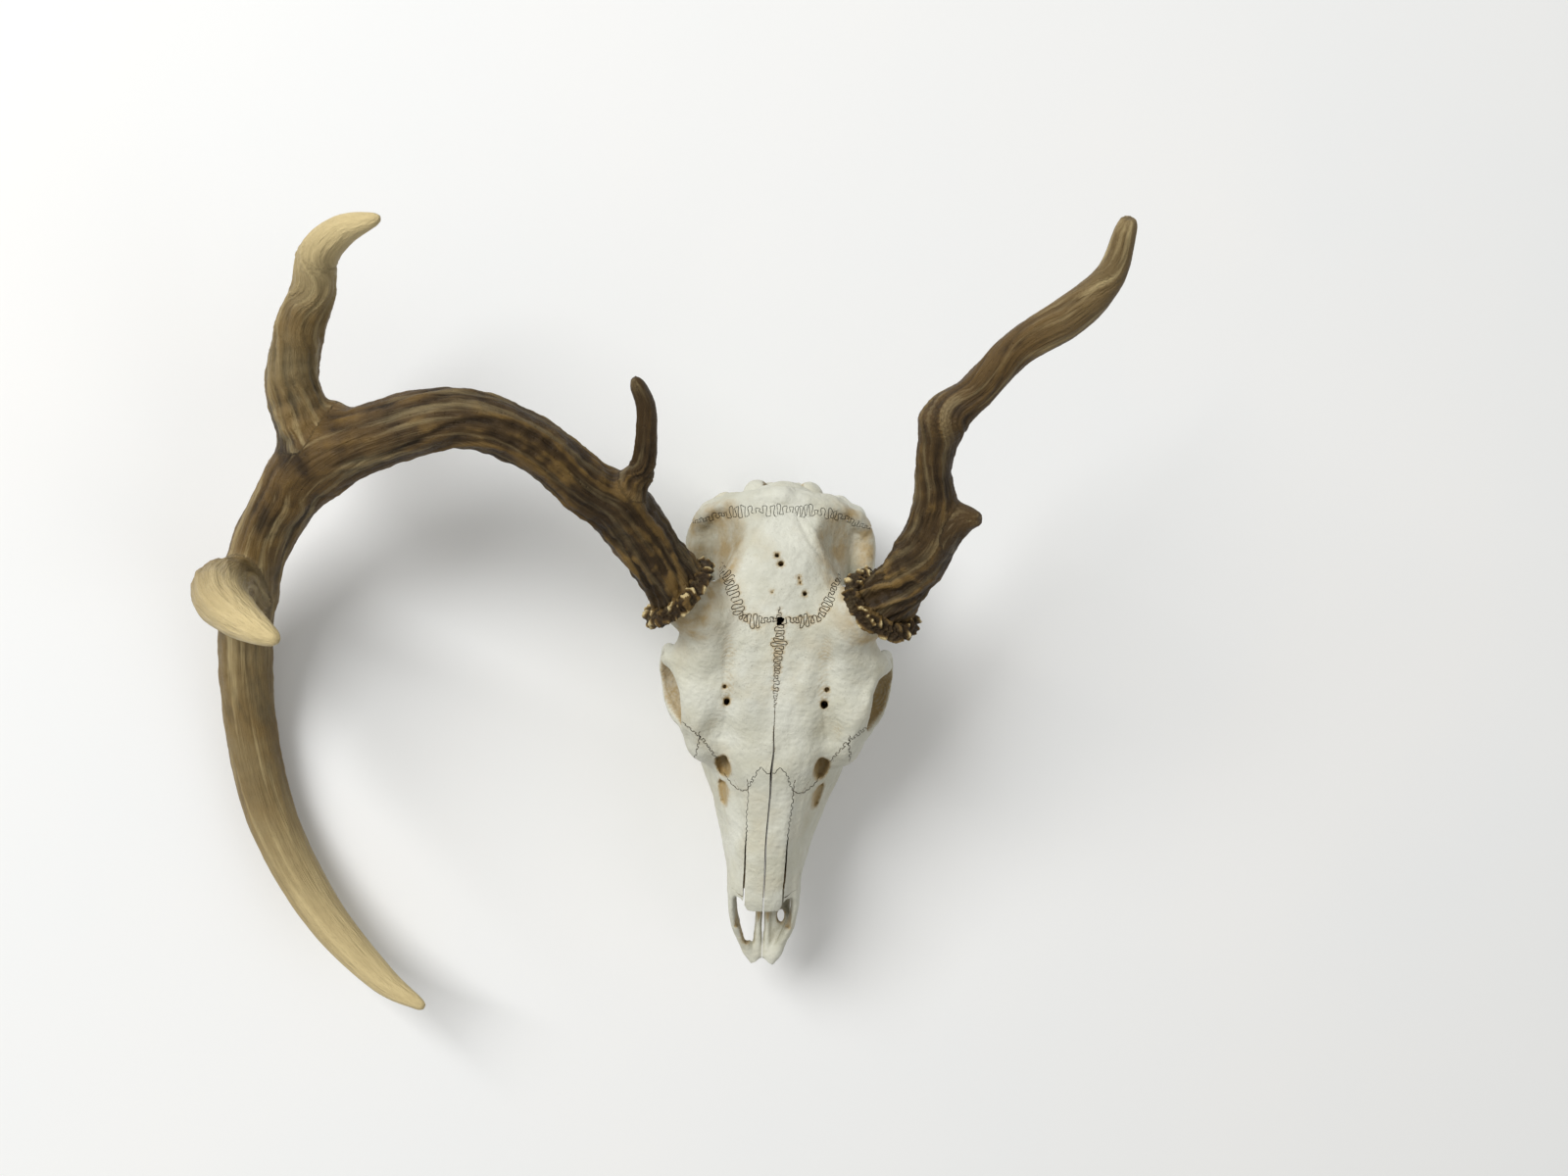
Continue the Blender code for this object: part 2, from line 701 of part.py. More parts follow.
def thickened(obj):
    """Gives an open sheet the thickness of a suture, and makes it a cutter."""
    thicken = obj.modifiers.new("thickness", "SOLIDIFY")
    thicken.thickness = GAP * MM
    thicken.offset = 0.0
    thicken.use_even_offset = True
    return hide(apply_modifiers(obj))


def frontal_floor(cutters):
    """The underside of the frontal bones: a sheet between their front and back sutures."""
    floor = np.array(FRONTAL_FLOOR, float)
    front = np.array(FRONTAL_FRONT, float)
    back = np.array(CORONAL_SUTURE, float)
    across = np.union1d(front[:, 0], back[:, 0])
    start = np.interp(across, front[:, 0], front[:, 1])
    end = np.interp(across, back[:, 0], back[:, 1])
    share = np.linspace(0, 1, 9)
    y = start[:, None] + (end - start)[:, None] * share
    points = np.stack([np.broadcast_to(across[:, None], y.shape), y, np.interp(y, *floor.T)], axis=-1)
    rows, columns = y.shape
    faces = [
        (i * columns + k, i * columns + k + 1, (i + 1) * columns + k + 1, (i + 1) * columns + k)
        for i in range(rows - 1)
        for k in range(columns - 1)
    ]
    sheet = mesh_object("frontal_floor", points.reshape(-1, 3) - (0, 0, GAP / 2), faces, cutters)
    work = bmesh.new()
    work.from_mesh(sheet.data)
    raised = bmesh.ops.extrude_face_region(work, geom=work.faces[:])["geom"]
    upper = [vertex for vertex in raised if isinstance(vertex, bmesh.types.BMVert)]
    bmesh.ops.translate(work, verts=upper, vec=(0, 0, GAP * MM))
    bmesh.ops.recalc_face_normals(work, faces=work.faces)
    work.to_mesh(sheet.data)
    work.free()
    return hide(sheet)


def sutures(cutters):
    """The thin walls that part the skull into its bones."""
    in_front = [row for row in MUZZLE_SUTURE if row[1] < 50]
    walls = [
        frontal_floor(cutters),
        thin_wall("coronal", CORONAL_SUTURE, 70, 130, cutters),
        thin_wall("lambdoid", LAMBDOID_SUTURE, -10, 120, cutters),
        thin_wall("frontal_front", FRONTAL_FRONT, 60, 110, cutters),
        thin_wall("midline_front", ((0, MAXILLA_BACK_Y), (0, -175)), -10, 120, cutters),
        thin_wall("midline_back", ((0, BREGMA_Y), (0, MAXILLA_BACK_Y - 1)), 66, 120, cutters),
        thin_wall("maxilla_back", ((-44, MAXILLA_BACK_Y), (44, MAXILLA_BACK_Y)), -10, 66.6, cutters),
        thin_wall("muzzle_floor", in_front, -NASAL_HALF_WIDTH, NASAL_HALF_WIDTH, cutters, "X"),
    ]
    for side in (1, -1):
        edge = NASAL_HALF_WIDTH * side
        arch = ((38 * side, ARCH_SUTURE_Y + 5), (56 * side, ARCH_SUTURE_Y - 3))
        walls += [
            thin_wall("cheek", mirrored(CHEEK_SUTURE, side), 20, 66.5, cutters),
            thin_wall("cheek_front", mirrored(CHEEK_SUTURE_FRONT, side), 20, 110, cutters),
            thin_wall("arch", arch, 40, 64, cutters),
            thin_wall("nasal", ((edge, NASION_Y - 5), (edge, -135)), 48, 90, cutters),
            thin_wall("muzzle_side", MUZZLE_SUTURE, edge, 40 * side, cutters, "X"),
        ]
    return walls


def islands(mesh):
    """The separate closed pieces of a mesh, each as (points, faces), the largest first."""
    count = len(mesh.vertices)
    points = np.empty(count * 3, np.float32)
    mesh.vertices.foreach_get("co", points)
    points = points.reshape(-1, 3)
    label = np.arange(count)
    edges = np.empty(len(mesh.edges) * 2, np.int32)
    mesh.edges.foreach_get("vertices", edges)
    edges = edges.reshape(-1, 2)
    while True:
        low = np.minimum(label[edges[:, 0]], label[edges[:, 1]])
        before = label.copy()
        np.minimum.at(label, edges[:, 0], low)
        np.minimum.at(label, edges[:, 1], low)
        label = label[label]
        if (label == before).all():
            break
    faces = {}
    for polygon in mesh.polygons:
        faces.setdefault(int(label[polygon.vertices[0]]), []).append(tuple(polygon.vertices))
    found = []
    for tops in faces.values():
        used = np.unique(np.concatenate([np.array(top) for top in tops]))
        renumber = dict(zip(used.tolist(), range(len(used))))
        found.append((points[used] / MM, [tuple(renumber[v] for v in top) for top in tops]))
    return sorted(found, key=lambda piece: -np.prod(np.ptp(piece[0], axis=0)))


def name_pieces(whole, seeds, collection, material):
    """Splits a cut body into its pieces and names each by the seed that lies nearest to its points."""
    pieces = islands(whole.data)
    bpy.data.objects.remove(whole, do_unlink=True)
    objects = {}
    for name, seed in seeds.items():
        near = [float(np.linalg.norm(points - seed, axis=1).min()) for points, _ in pieces[: len(seeds)]]
        points, faces = pieces[near.index(min(near))]
        objects[name] = mesh_object(name, points, faces, collection)
        objects[name].data.materials.append(material)
        objects[name].data.shade_smooth()
        objects[name].data.set_sharp_from_angle(angle=math.radians(SHARP_ANGLE))
    return objects


def lean_muzzle(objects):
    """Bends the muzzle a little to one side, more the further it is from the eyes."""
    for obj in objects.values():
        for vertex in obj.data.vertices:
            share = min(1.0, max(0.0, (LEAN_START_Y - vertex.co.y / MM) / LEAN_LENGTH))
            vertex.co.x += MUZZLE_LEAN * MM * share * share * (3 - 2 * share)


def drop_fins(obj):
    """Takes off single triangles that stand on an edge of an otherwise closed mesh."""
    work = bmesh.new()
    work.from_mesh(obj.data)
    while True:
        fins = [face for face in work.faces if any(edge.is_boundary for edge in face.edges)]
        if not fins:
            break
        bmesh.ops.delete(work, geom=fins, context="FACES")
    work.to_mesh(obj.data)
    work.free()


def round_block(foot, ahead, radius, depth, collection):
    """A short cylinder square to an antler's foot, with its middle this far ahead of it."""
    point, facing = Vector(foot[0]), Vector(foot[1]).normalized()
    work = bmesh.new()
    bmesh.ops.create_cone(
        work, cap_ends=True, segments=20, radius1=radius * MM, radius2=radius * MM, depth=depth * MM
    )
    turn = facing.to_track_quat("Z", "Y").to_matrix().to_4x4()
    place = Matrix.Translation((point + facing * ahead) * MM) @ turn
    bmesh.ops.transform(work, matrix=place, verts=work.verts)
    mesh = bpy.data.meshes.new("block")
    work.to_mesh(mesh)
    work.free()
    obj = bpy.data.objects.new("block", mesh)
    collection.objects.link(obj)
    return hide(obj)


def build_skull(parts, work, cutters, bone):
    skull = melt(join("skull", skull_masses(work), work), VOXEL)
    hollows = hide(melt(join("hollows", skull_hollows(work), work), VOXEL * 0.8))
    cut(skull, hollows)
    relax = skull.modifiers.new("relax", "SMOOTH")
    relax.factor = 0.5
    relax.iterations = 3
    skull = apply_modifiers(skull)
    bpy.data.objects.remove(hollows, do_unlink=True)
    faces = sum(len(polygon.vertices) - 2 for polygon in skull.data.polygons)
    fewer = skull.modifiers.new("fewer", "DECIMATE")
    fewer.ratio = SKULL_TRIANGLES / faces
    skull = apply_modifiers(skull)
    drop_fins(skull)
    for foot in (RIGHT_FOOT, LEFT_FOOT):
        beyond = round_block(foot, FOOT_BLOCK_DEPTH / 2 - GAP, SKULL_BLOCK_RADIUS, FOOT_BLOCK_DEPTH, work)
        cut(skull, beyond)
        skull = apply_modifiers(skull)
        bpy.data.objects.remove(beyond, do_unlink=True)
    for wall in sutures(cutters):
        cut(skull, wall)
        skull = apply_modifiers(skull)
    bones = name_pieces(skull, BONES, parts, bone)
    lean_muzzle(bones)
    return bones


def antler_tube(name, stations, collection):
    """A branch of an antler: a curve through its stations, thick as each of them says."""
    path = smooth_rows(stations, STATION_STEP)
    curve = bpy.data.curves.new(name, "CURVE")
    curve.dimensions = "3D"
    curve.bevel_depth = MM
    curve.bevel_resolution = BEAM_ROUNDNESS
    curve.use_fill_caps = True
    spline = curve.splines.new("POLY")
    spline.points.add(len(path) - 1)
    for point, (x, y, z, radius) in zip(spline.points, path):
        point.co = (x * MM, y * MM, z * MM, 1.0)
        point.radius = radius
    obj = bpy.data.objects.new(name, curve)
    collection.objects.link(obj)
    return apply_modifiers(obj)


def burr(foot, collection):
    """The rough ring round the foot of an antler, as a short wide drum with a rounded edge."""
    half = (BURR_RADIUS, BURR_RADIUS, BURR_THICKNESS)
    obj = ellipsoid("burr", ((0, 0, BURR_THICKNESS - BURR_SINK), half), collection)
    turn = Vector(foot[1]).to_track_quat("Z", "Y").to_matrix().to_4x4()
    obj.data.transform(Matrix.Translation(Vector(foot[0]) * MM) @ turn)
    return obj


def build_antler(foot, branches, knobs, cuts, seeds, parts, work, material):
    """An antler grown as one body from its branches, then cut where a person would name its lengths."""
    antler = antler_tube("antler", branches[0], work)
    others = [antler_tube("branch", stations, work) for stations in branches[1:]]
    others += knobs
    others.append(burr(foot, work))
    for other in others:
        grow = antler.modifiers.new("grow", "BOOLEAN")
        grow.operation = "UNION"
        grow.object = hide(other)
        antler = apply_modifiers(antler)
        bpy.data.objects.remove(other, do_unlink=True)
    blocks = [round_block(foot, -FOOT_BLOCK_DEPTH / 2, ANTLER_BLOCK_RADIUS, FOOT_BLOCK_DEPTH, work)]
    blocks += [round_block((point, along), 0, radius, GAP, work) for point, along, radius in cuts]
    for block in blocks:
        cut(antler, block)
        antler = apply_modifiers(antler)
        bpy.data.objects.remove(block, do_unlink=True)
    return name_pieces(antler, seeds, parts, material)


def lay_down(objects, parts, cutters):
    """Turns the whole skull to the way it lies, and gives what touches the floor a small flat there."""
    lie = bpy.data.objects.new("lie", None)
    parts.objects.link(lie)
    lie.location = Vector(LIE_MOVE) * MM - Vector((0, 0, FLAT_DEPTH * MM))
    lie.rotation_mode = "XYZ"
    lie.rotation_euler = (math.radians(LIE_PITCH), math.radians(LIE_ROLL), 0.0)
    for obj in objects.values():
        obj.parent = lie
    bpy.ops.mesh.primitive_cube_add(size=1.0, location=(0, 0, -FLOOR_BLOCK[2] / 2), scale=FLOOR_BLOCK)
    floor = bpy.context.object
    floor.name = "floor"
    for home in list(floor.users_collection):
        home.objects.unlink(floor)
    cutters.objects.link(hide(floor))
    for name in RESTS_ON_FLOOR:
        cut(objects[name], floor)


def main():
    clear_scene()
    parts = new_collection("deer_skull")
    cutters = new_collection("cutters")
    work = new_collection("work")
    cutters.hide_render = True
    bone = new_material("bone", BONE, 0.6)
    horn = new_material("antler", ANTLER, 0.55)
    objects = build_skull(parts, work, cutters, bone)
    tines = (RIGHT_BEAM, BROW_TINE, SECOND_TINE, THIRD_TINE)
    web = ellipsoid("web", FORK_WEB, work)
    objects.update(build_antler(RIGHT_FOOT, tines, [web], RIGHT_CUTS, RIGHT_ANTLER, parts, work, horn))
    knuckle = ellipsoid("knuckle", LEFT_KNUCKLE, work)
    crooked = (LEFT_BEAM, LEFT_STUB)
    objects.update(build_antler(LEFT_FOOT, crooked, [knuckle], LEFT_CUTS, LEFT_ANTLER, parts, work, horn))
    lay_down(objects, parts, cutters)
    bpy.data.collections.remove(work)


main()
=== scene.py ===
"""The looks of a deer's skull with its antlers, lying on a pale floor and seen from above its forehead.

Lengths are in millimetres in the skull's own frame, as the maker measured it: +X is the animal's left, +Y runs
back from the muzzle, +Z is up from the palate, and the origin is on the midline between the eye sockets at the
level of the chewing teeth. LIE turns that frame to the way the skull lies, in metres, as a last step.
"""

import json
import math

import bpy
import numpy as np
import openvdb as vdb
from mathutils import Matrix, Vector

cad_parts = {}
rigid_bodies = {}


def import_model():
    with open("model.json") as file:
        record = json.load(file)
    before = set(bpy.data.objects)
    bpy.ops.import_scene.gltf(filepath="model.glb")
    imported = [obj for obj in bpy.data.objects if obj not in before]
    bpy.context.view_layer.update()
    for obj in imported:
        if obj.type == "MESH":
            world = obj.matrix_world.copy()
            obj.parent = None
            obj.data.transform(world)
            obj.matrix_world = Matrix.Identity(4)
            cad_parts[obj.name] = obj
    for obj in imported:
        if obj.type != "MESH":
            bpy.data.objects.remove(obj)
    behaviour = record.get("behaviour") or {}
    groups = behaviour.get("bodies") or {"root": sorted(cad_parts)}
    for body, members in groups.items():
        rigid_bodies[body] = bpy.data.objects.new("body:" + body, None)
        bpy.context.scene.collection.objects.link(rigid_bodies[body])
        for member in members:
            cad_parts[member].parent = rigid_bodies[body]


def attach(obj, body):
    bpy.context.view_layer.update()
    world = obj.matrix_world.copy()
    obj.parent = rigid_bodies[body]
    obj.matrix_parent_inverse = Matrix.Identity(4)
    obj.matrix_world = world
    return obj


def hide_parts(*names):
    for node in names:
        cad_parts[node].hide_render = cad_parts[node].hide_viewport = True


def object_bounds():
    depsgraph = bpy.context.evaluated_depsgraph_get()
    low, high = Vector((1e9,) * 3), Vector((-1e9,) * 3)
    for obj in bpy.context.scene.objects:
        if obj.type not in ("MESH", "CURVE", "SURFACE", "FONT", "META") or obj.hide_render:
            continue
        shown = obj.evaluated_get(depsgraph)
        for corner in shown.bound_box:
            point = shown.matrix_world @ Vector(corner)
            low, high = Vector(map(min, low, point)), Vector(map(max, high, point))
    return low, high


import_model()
cad_box = [list(corner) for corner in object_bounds()]


# ---------------------------------------------------------------------------------------------------------
# How the skull lies. Set down on a table, a skull with one heavy antler rolls until that antler's outer beam
# takes the weight: it then rests on the beam, on the back of the right tooth row and on a process by the ear.
LIE_PITCH = math.radians(-6.39)
LIE_ROLL = math.radians(-19.15)
LIE_MOVE = Vector((0.1166, -0.0368, 0.00935))
LIE = Matrix.Translation(LIE_MOVE) @ Matrix.Rotation(LIE_ROLL, 4, "Y") @ Matrix.Rotation(LIE_PITCH, 4, "X")
MM = 0.001


def laid(points):
    """Points in the skull's frame, in millimetres, turned and moved to where they lie, in metres."""
    turn = np.array(LIE.to_3x3())
    return points @ turn.T * MM + np.array(LIE.translation)


# ---------------------------------------------------------------------------------------------------------
# The body of the skull. The bones of an old buck's face and braincase have grown into one rigid box, so it is
# shaped as one, like clay on a board: each mass is laid on and smoothed into its neighbours, then the temples,
# grooves, eye sockets, nose and palate are scooped out. A field of distances holds the clay, on a fine grid.
FOREHEAD_HEIGHT = 101.0
CHEEK_HALF_WIDTH = 60.8
ORBIT_RADIUS = 19.6
ORBIT_RIM = 2.7
ORBIT_CENTRE = (50.6, -5.5, 65.0)
ORBIT_FACING = (1.0, -0.26, 0.26)
SKULL_GRAIN = 0.8  # between the points of the grid
SKULL_LOW = (-72, -162, -3)
SKULL_HIGH = (72, 112, 122)
REACH = 9.0  # how far round a shape its distances are worked out
FAR = 99.0

# Sections: y, lowest z, highest z, half width at the bottom, half width at the top, squareness (2: an ellipse)
BRAINCASE = (
    (-8, 40, 82, 9, 13, 2.2),
    (10, 42, 90, 13, 19, 2.2),
    (28, 41, 98, 25, 28, 2.3),
    (46, 36, FOREHEAD_HEIGHT, 35, 28, 2.4),
    (64, 33, 98, 43, 29, 2.4),
    (80, 32, 90, 44, 31, 2.6),
    (90, 31, 80, 41, 30, 3.0),
    (96, 34, 74, 33, 25, 3.0),
)
FOREHEAD = (
    (-66, 62, 72, 6, 5, 2.2),
    (-54, 64, 78.6, 14, 10, 2.4),
    (-42, 62, 83, 23, 16, 2.4),
    (-26, 60, 87.5, 33, 24, 2.4),
    (-12, 62, 92, 42, 34, 2.5),
    (4, 67, 96, 49, 42, 2.6),
    (19, 70, 99, 49, 44, 2.8),
    (34, 74, FOREHEAD_HEIGHT, 43, 38, 2.8),
    (50, 78, FOREHEAD_HEIGHT - 0.5, 31, 28, 2.6),
    (66, 78, 96, 20, 19, 2.4),
    (80, 76, 88, 10, 9, 2.2),
)
MUZZLE = (
    (19, 28, 48, 15, 13, 2.4),
    (13, 20, 54, 24, 22, 2.6),
    (4, 16, 60, 32, 29, 3.0),
    (-12, 13, 72, 37, 32, 3.0),
    (-30, 12, 80, 46, 29, 3.0),
    (-45, 13, 79.5, 46, 23, 3.0),
    (-58, 15, 76.5, 40.5, 19, 3.0),
    (-72, 16, 72.5, 34, 17, 3.0),
    (-88, 17, 67, 28.3, 15.5, 3.0),
    (-104, 18, 61.5, 23.2, 14.8, 3.0),
    (-115, 18, 57.5, 21.6, 14.4, 3.0),
)
NASALS = (
    (-44, 72, 82.5, 10, 9.5, 2.4),
    (-58, 68, 79.5, 12, 11.5, 2.4),
    (-70, 64, 76, 12, 11.5, 2.4),
    (-92, 56, 69.3, 12, 11.5, 2.3),
    (-108, 51, 63.3, 11.6, 11.0, 2.3),
    (-117, 49, 59.2, 10.6, 10, 2.3),
    (-121.5, 49, 56.5, 8.6, 8, 2.3),
)
NASAL_CAVITY = (
    (-36, 52, 70, 7, 7, 2.4),
    (-50, 40, 76.0, 12.5, 13, 2.6),
    (-70, 31, 71.0, 14.5, 13, 2.6),
    (-90, 25, 65.0, 14, 12.6, 2.6),
    (-106, 22.5, 59.3, 13.5, 12.2, 2.6),
    (-118, 22, 55.2, 14.6, 12.0, 2.6),
    (-134, 24, 51, 16, 12, 2.6),
)
BRAIN_OPENING = ((70, 36, 60, 12, 12, 2.2), (90, 33, 50, 11, 11, 2.2), (112, 29, 47, 10.5, 9, 2.2))
CHOANA = ((-12, 24, 38, 7, 6, 2.4), (8, 19, 37, 8.5, 7.5, 2.4), (44, 10, 30, 8.5, 7.5, 2.4))
PALATE_VAULT = (
    (-84, 3, 13.5, 12, 5, 2.4),
    (-66, 0, 19.5, 19, 9, 2.4),
    (-30, -2, 20, 24, 15, 2.6),
    (4, -2, 20, 25, 16, 2.6),
    (14, -2, 18, 25, 16, 2.6),
)

# Bars of the left side: x, y, z, half width, half height
CHEEK_BONE = (
    (27, -44, 33, 5, 6),
    (35, -36, 38.5, 5, 7),
    (42.5, -27.5, 42.5, 4.6, 7),
    (50.5, -16.5, 45, 3.8, 6),
    (CHEEK_HALF_WIDTH - 3.6, -2, 47, 3.0, 5.6),
    (54.5, 6, 49, 2.8, 5),
    (49.5, 16, 51, 2.4, 4.4),
    (46.5, 36, 52, 2.3, 4.2),
    (45.5, 52, 52.5, 2.8, 4.6),
    (43, 66, 51.5, 5, 6),
    (40, 76, 51, 6, 6),
)
TEMPLE_CREST = ((44, 60, 53, 3.4, 4.5), (45.5, 72, 52, 3.4, 4.5), (43, 80, 56, 3, 3.4), (38.5, 86, 62, 2.4, 3))
POSTORBITAL = (
    (30, 15, 88, 9, 7),
    (41, 12.5, 85.5, 9, 8),
    (49.5, 10.5, 78.5, 7, 8),
    (54.2, 8.5, 68, 4.4, 6),
    (57.2, 6.0, 57, 3, 5),
    (57.4, 3.0, 50, 2.8, 5),
)
NUCHAL_CREST = (
    (41, 82, 57, 1.6, 3.6),
    (35, 87, 66, 1.6, 3.8),
    (25, 90.6, 71.5, 1.6, 4.4),
    (13, 93, 75, 1.6, 4.6),
    (-1, 94.2, 76.4, 1.6, 4.8),
)
# Where the antlers' feet stand: a point, and the way that the antler grows from it
RIGHT_FOOT = ((-47, 40.5, 104.2), (-0.68, 0.66, 0.32))
LEFT_FOOT = ((49, 39.5, 104), (0.5, 0.6, 0.62))
PEDICLE = ((29, 24, 84, 18, 16), (36, 32, 94, 15.5, 15.5), (43, 38.5, 101, 14.4, 14.4), (50, 44.5, 105.5, 14.2, 14.2))
EAR_TUBE = ((30, 74, 40, 6, 6), (43.5, 78, 45, 5, 5))
PTERYGOID = ((13, -4, 27, 2.6, 10), (12, 14, 27, 2.3, 10), (11.2, 28, 29, 2.2, 7.5), (10.5, 40, 32, 2.5, 4))
JUGULAR_PROCESS = ((30, 90, 42, 6, 7), (30.5, 94, 28, 4.2, 4.2), (29, 94, 17, 3, 3), (27.5, 92, 8.2, 2, 2))
SKULL_BASE = ((0, 104, 28, 9, 4.5), (0, 84, 27, 10, 5), (0, 60, 31, 8, 6), (0, 34, 35, 6, 6), (0, 2, 34, 5, 6))
MUZZLE_EDGE = (
    (14.6, -94, 45, 2.4, 8),
    (16.4, -108, 40.5, 2.4, 9.5),
    (16.6, -121, 33, 2.3, 9),
    (15.0, -132, 27, 2.4, 7),
    (11.2, -141.5, 22.5, 2.7, 4.8),
    (7.4, -149, 19.5, 3.6, 3.6),
    (3.4, -155.0, 18.5, 3.2, 2.8),
)
PALATE_SPUR = ((3.0, -152, 19, 2.8, 2.8), (2.6, -140, 20, 2.0, 2.8), (2.6, -124, 21, 1.9, 2.4), (3, -104, 21, 2.6, 2.4))
PALATE_PLATE = ((8, -110, 20, 6, 2), (8.8, -122, 20.5, 6, 1.8), (8, -134, 20, 5, 1.8), (6, -146, 19, 3, 1.6))
VOMER = ((0, -118, 24, 1.0, 4), (0, -106, 30, 1.0, 8), (0, -90, 36, 1.0, 12), (0, -60, 42, 1.0, 16))
SCROLL_BONE = ((8.4, -112, 36, 2.0, 4.5), (8.2, -98, 43, 2.8, 8), (8.4, -84, 46, 2.8, 9), (8.6, -64, 50, 2.8, 9))
EAR_HOLE = ((33, 75, 41.5, 2.6, 2.6), (48, 79, 46, 2.8, 2.8))

# Troughs of the left side: the temple, where the chewing muscle lay, the valley on the inner side of the brow,
# in which a vessel ran, the hollow in front of the eye, and the gutter between nasal bone and upper jaw
TEMPLE = (
    (62, 26, 96, 26, 32),
    (61, 44, 101, 29, 37),
    (59, 58, 101, 32, 42),
    (55, 70, 98, 34, 43),
    (54, 80, 97, 33, 39),
    (56, 90, 98, 29, 31),
)
BROW_VALLEY = (
    (23, 30, 113, 2, 4),
    (23.5, 18, 109, 5, 9),
    (24.5, 6, 106.0, 7, 11),
    (25.5, -8, 102.5, 8, 12),
    (27.5, -20, 98.0, 8, 12),
    (30.0, -31, 91.5, 8, 12),
    (31.0, -40, 87, 6, 10),
)
BROW_HOLE = ((24.4, -7.5, 96, 1.5, 1.9), (24.6, -10.5, 86, 1.5, 1.9), (26, -10, 70, 1.5, 1.9))
SMALL_BROW_HOLE = ((25.4, -2.5, 96, 0.9, 1.1), (25.6, -3.0, 86, 0.9, 1.1))
UPPER_WINDOW = ((24.4, -39.5, 76, 1.2, 15), (25.2, -43.0, 75, 3.2, 15), (25.6, -47.5, 72, 4.2, 15), (24.6, -51.5, 71, 2.2, 15))
LOWER_WINDOW = ((25.6, -55.5, 68, 1.6, 15), (25.6, -59.5, 67, 3.8, 15), (24.6, -64.5, 65, 3.0, 15), (23.6, -68.5, 64, 1.2, 15))
CROWN_HOLES = ((-1.6, 65.1, 1.25), (0.5, 60.8, 1.35), (9.5, 54.0, 0.7), (10.2, 51.5, 0.6), (12.8, 46.2, 1.0), (-3.4, 46, 0.6))

# Rounded lumps of the left side: centre, half axes
CONDYLE = ((13.4, 97.0, 35.5), (8.2, 7.6, 10.5))
EAR_CAPSULE = ((21.5, 75, 28), (7.5, 10.5, 8.5))
MASTOID = ((37, 86, 46), (7, 6.5, 12))
SQUAMOSAL = ((38.5, 66, 47.5), (9, 17, 7.5))
LACRIMAL = ((35.0, -24, 57), (13, 20, 23))
CHEEK_FLOOR = ((44, -9, 47), (14, 17, 6))
BROW = ((38.0, -6, 79.0), (11.5, 21, 10.5))
OCCIPITAL_BOSS = ((0.5, 91, 58), (15, 12, 14))
TEAR_KNOB = ((39.2, -29, 61), (3.2, 3.6, 5))
RIGHT_PALATE_SLOT = ((8.6, -129.5, 22), (3.6, 15.5, 22))
LEFT_PALATE_SLOT = ((9.6, -130, 22), (1.9, 3.4, 22))


def unit(vector):
    return np.array(vector, float) / np.linalg.norm(vector)


def smooth_rows(rows, step):
    """Rows on a Catmull-Rom curve through the given rows, about `step` apart in their first three columns."""
    rows = np.asarray(rows, float)
    ends = np.vstack([2 * rows[0] - rows[1], rows, 2 * rows[-1] - rows[-2]])
    spans = np.linalg.norm(np.diff(rows[:, :3], axis=0), axis=1)
    counts = np.maximum(1, np.round(spans / step).astype(int))
    span = np.repeat(np.arange(len(counts)), counts)
    t = ((np.arange(len(span)) - np.repeat(np.cumsum(counts) - counts, counts)) / counts[span])[:, None]
    before, start, end, after = (ends[span + k] for k in range(4))
    curve = 2 * start + (end - before) * t
    curve += (2 * before - 5 * start + 4 * end - after) * t**2
    curve += (3 * start - before - 3 * end + after) * t**3
    return np.vstack([curve / 2, rows[-1]])


def closed_shape(grid):
    """(points, triangles) of a closed surface: a grid of rings, with each end drawn to the middle of its ring."""
    rings, sides, _ = grid.shape
    points = np.vstack([grid.reshape(-1, 3), grid[0].mean(0), grid[-1].mean(0)])
    ring, side = np.meshgrid(np.arange(rings - 1), np.arange(sides), indexing="ij")
    a, b = (ring * sides + side).ravel(), (ring * sides + (side + 1) % sides).ravel()
    c, d = b + sides, a + sides
    around = np.arange(sides)
    ahead = (around + 1) % sides
    first, last = np.full(sides, rings * sides), np.full(sides, rings * sides + 1)
    end = (rings - 1) * sides
    triangles = np.vstack([
        np.column_stack([a, b, c]),
        np.column_stack([a, c, d]),
        np.column_stack([first, ahead, around]),
        np.column_stack([last, around + end, ahead + end]),
    ])
    return points, triangles


def section_loft(sections, sides=96, step=2.0):
    """A body along Y: round the angle u each section is |cos u|^(2/s) wide and |sin u|^(2/s) high, signs kept."""
    rows = np.asarray(sections, float)
    level = np.zeros(len(rows))
    y, _, _, low, high, wide_low, wide_high, square = smooth_rows(
        np.column_stack([rows[:, 0], level, level, rows[:, 1:]]), step
    ).T[:, :, None]
    u = np.linspace(0, 2 * math.pi, sides, endpoint=False)
    across = np.sign(np.cos(u)) * np.abs(np.cos(u)) ** (2 / square)
    up = np.sign(np.sin(u)) * np.abs(np.sin(u)) ** (2 / square)
    width = wide_low + (wide_high - wide_low) * (up + 1) / 2
    height = (low + high) / 2 + up * (high - low) / 2
    return closed_shape(np.stack([across * width, y + 0 * up, height], axis=-1))


def bar(stations, side=1, sides=32, step=1.5):
    """An ellipse carried along a path: its width lies level and its height stands square to the path."""
    path = smooth_rows(stations, step)
    ahead = np.gradient(path[:, :3], axis=0)
    ahead /= np.linalg.norm(ahead, axis=1)[:, None]
    level = np.cross(ahead, (0, 0, 1))
    level /= np.linalg.norm(level, axis=1)[:, None]
    upright = np.cross(level, ahead)
    u = np.linspace(0, 2 * math.pi, sides, endpoint=False)
    grid = (
        path[:, None, :3]
        + level[:, None] * (path[:, 3, None] * np.cos(u))[..., None]
        + upright[:, None] * (path[:, 4, None] * np.sin(u))[..., None]
    )
    return closed_shape(grid * (side, 1, 1))


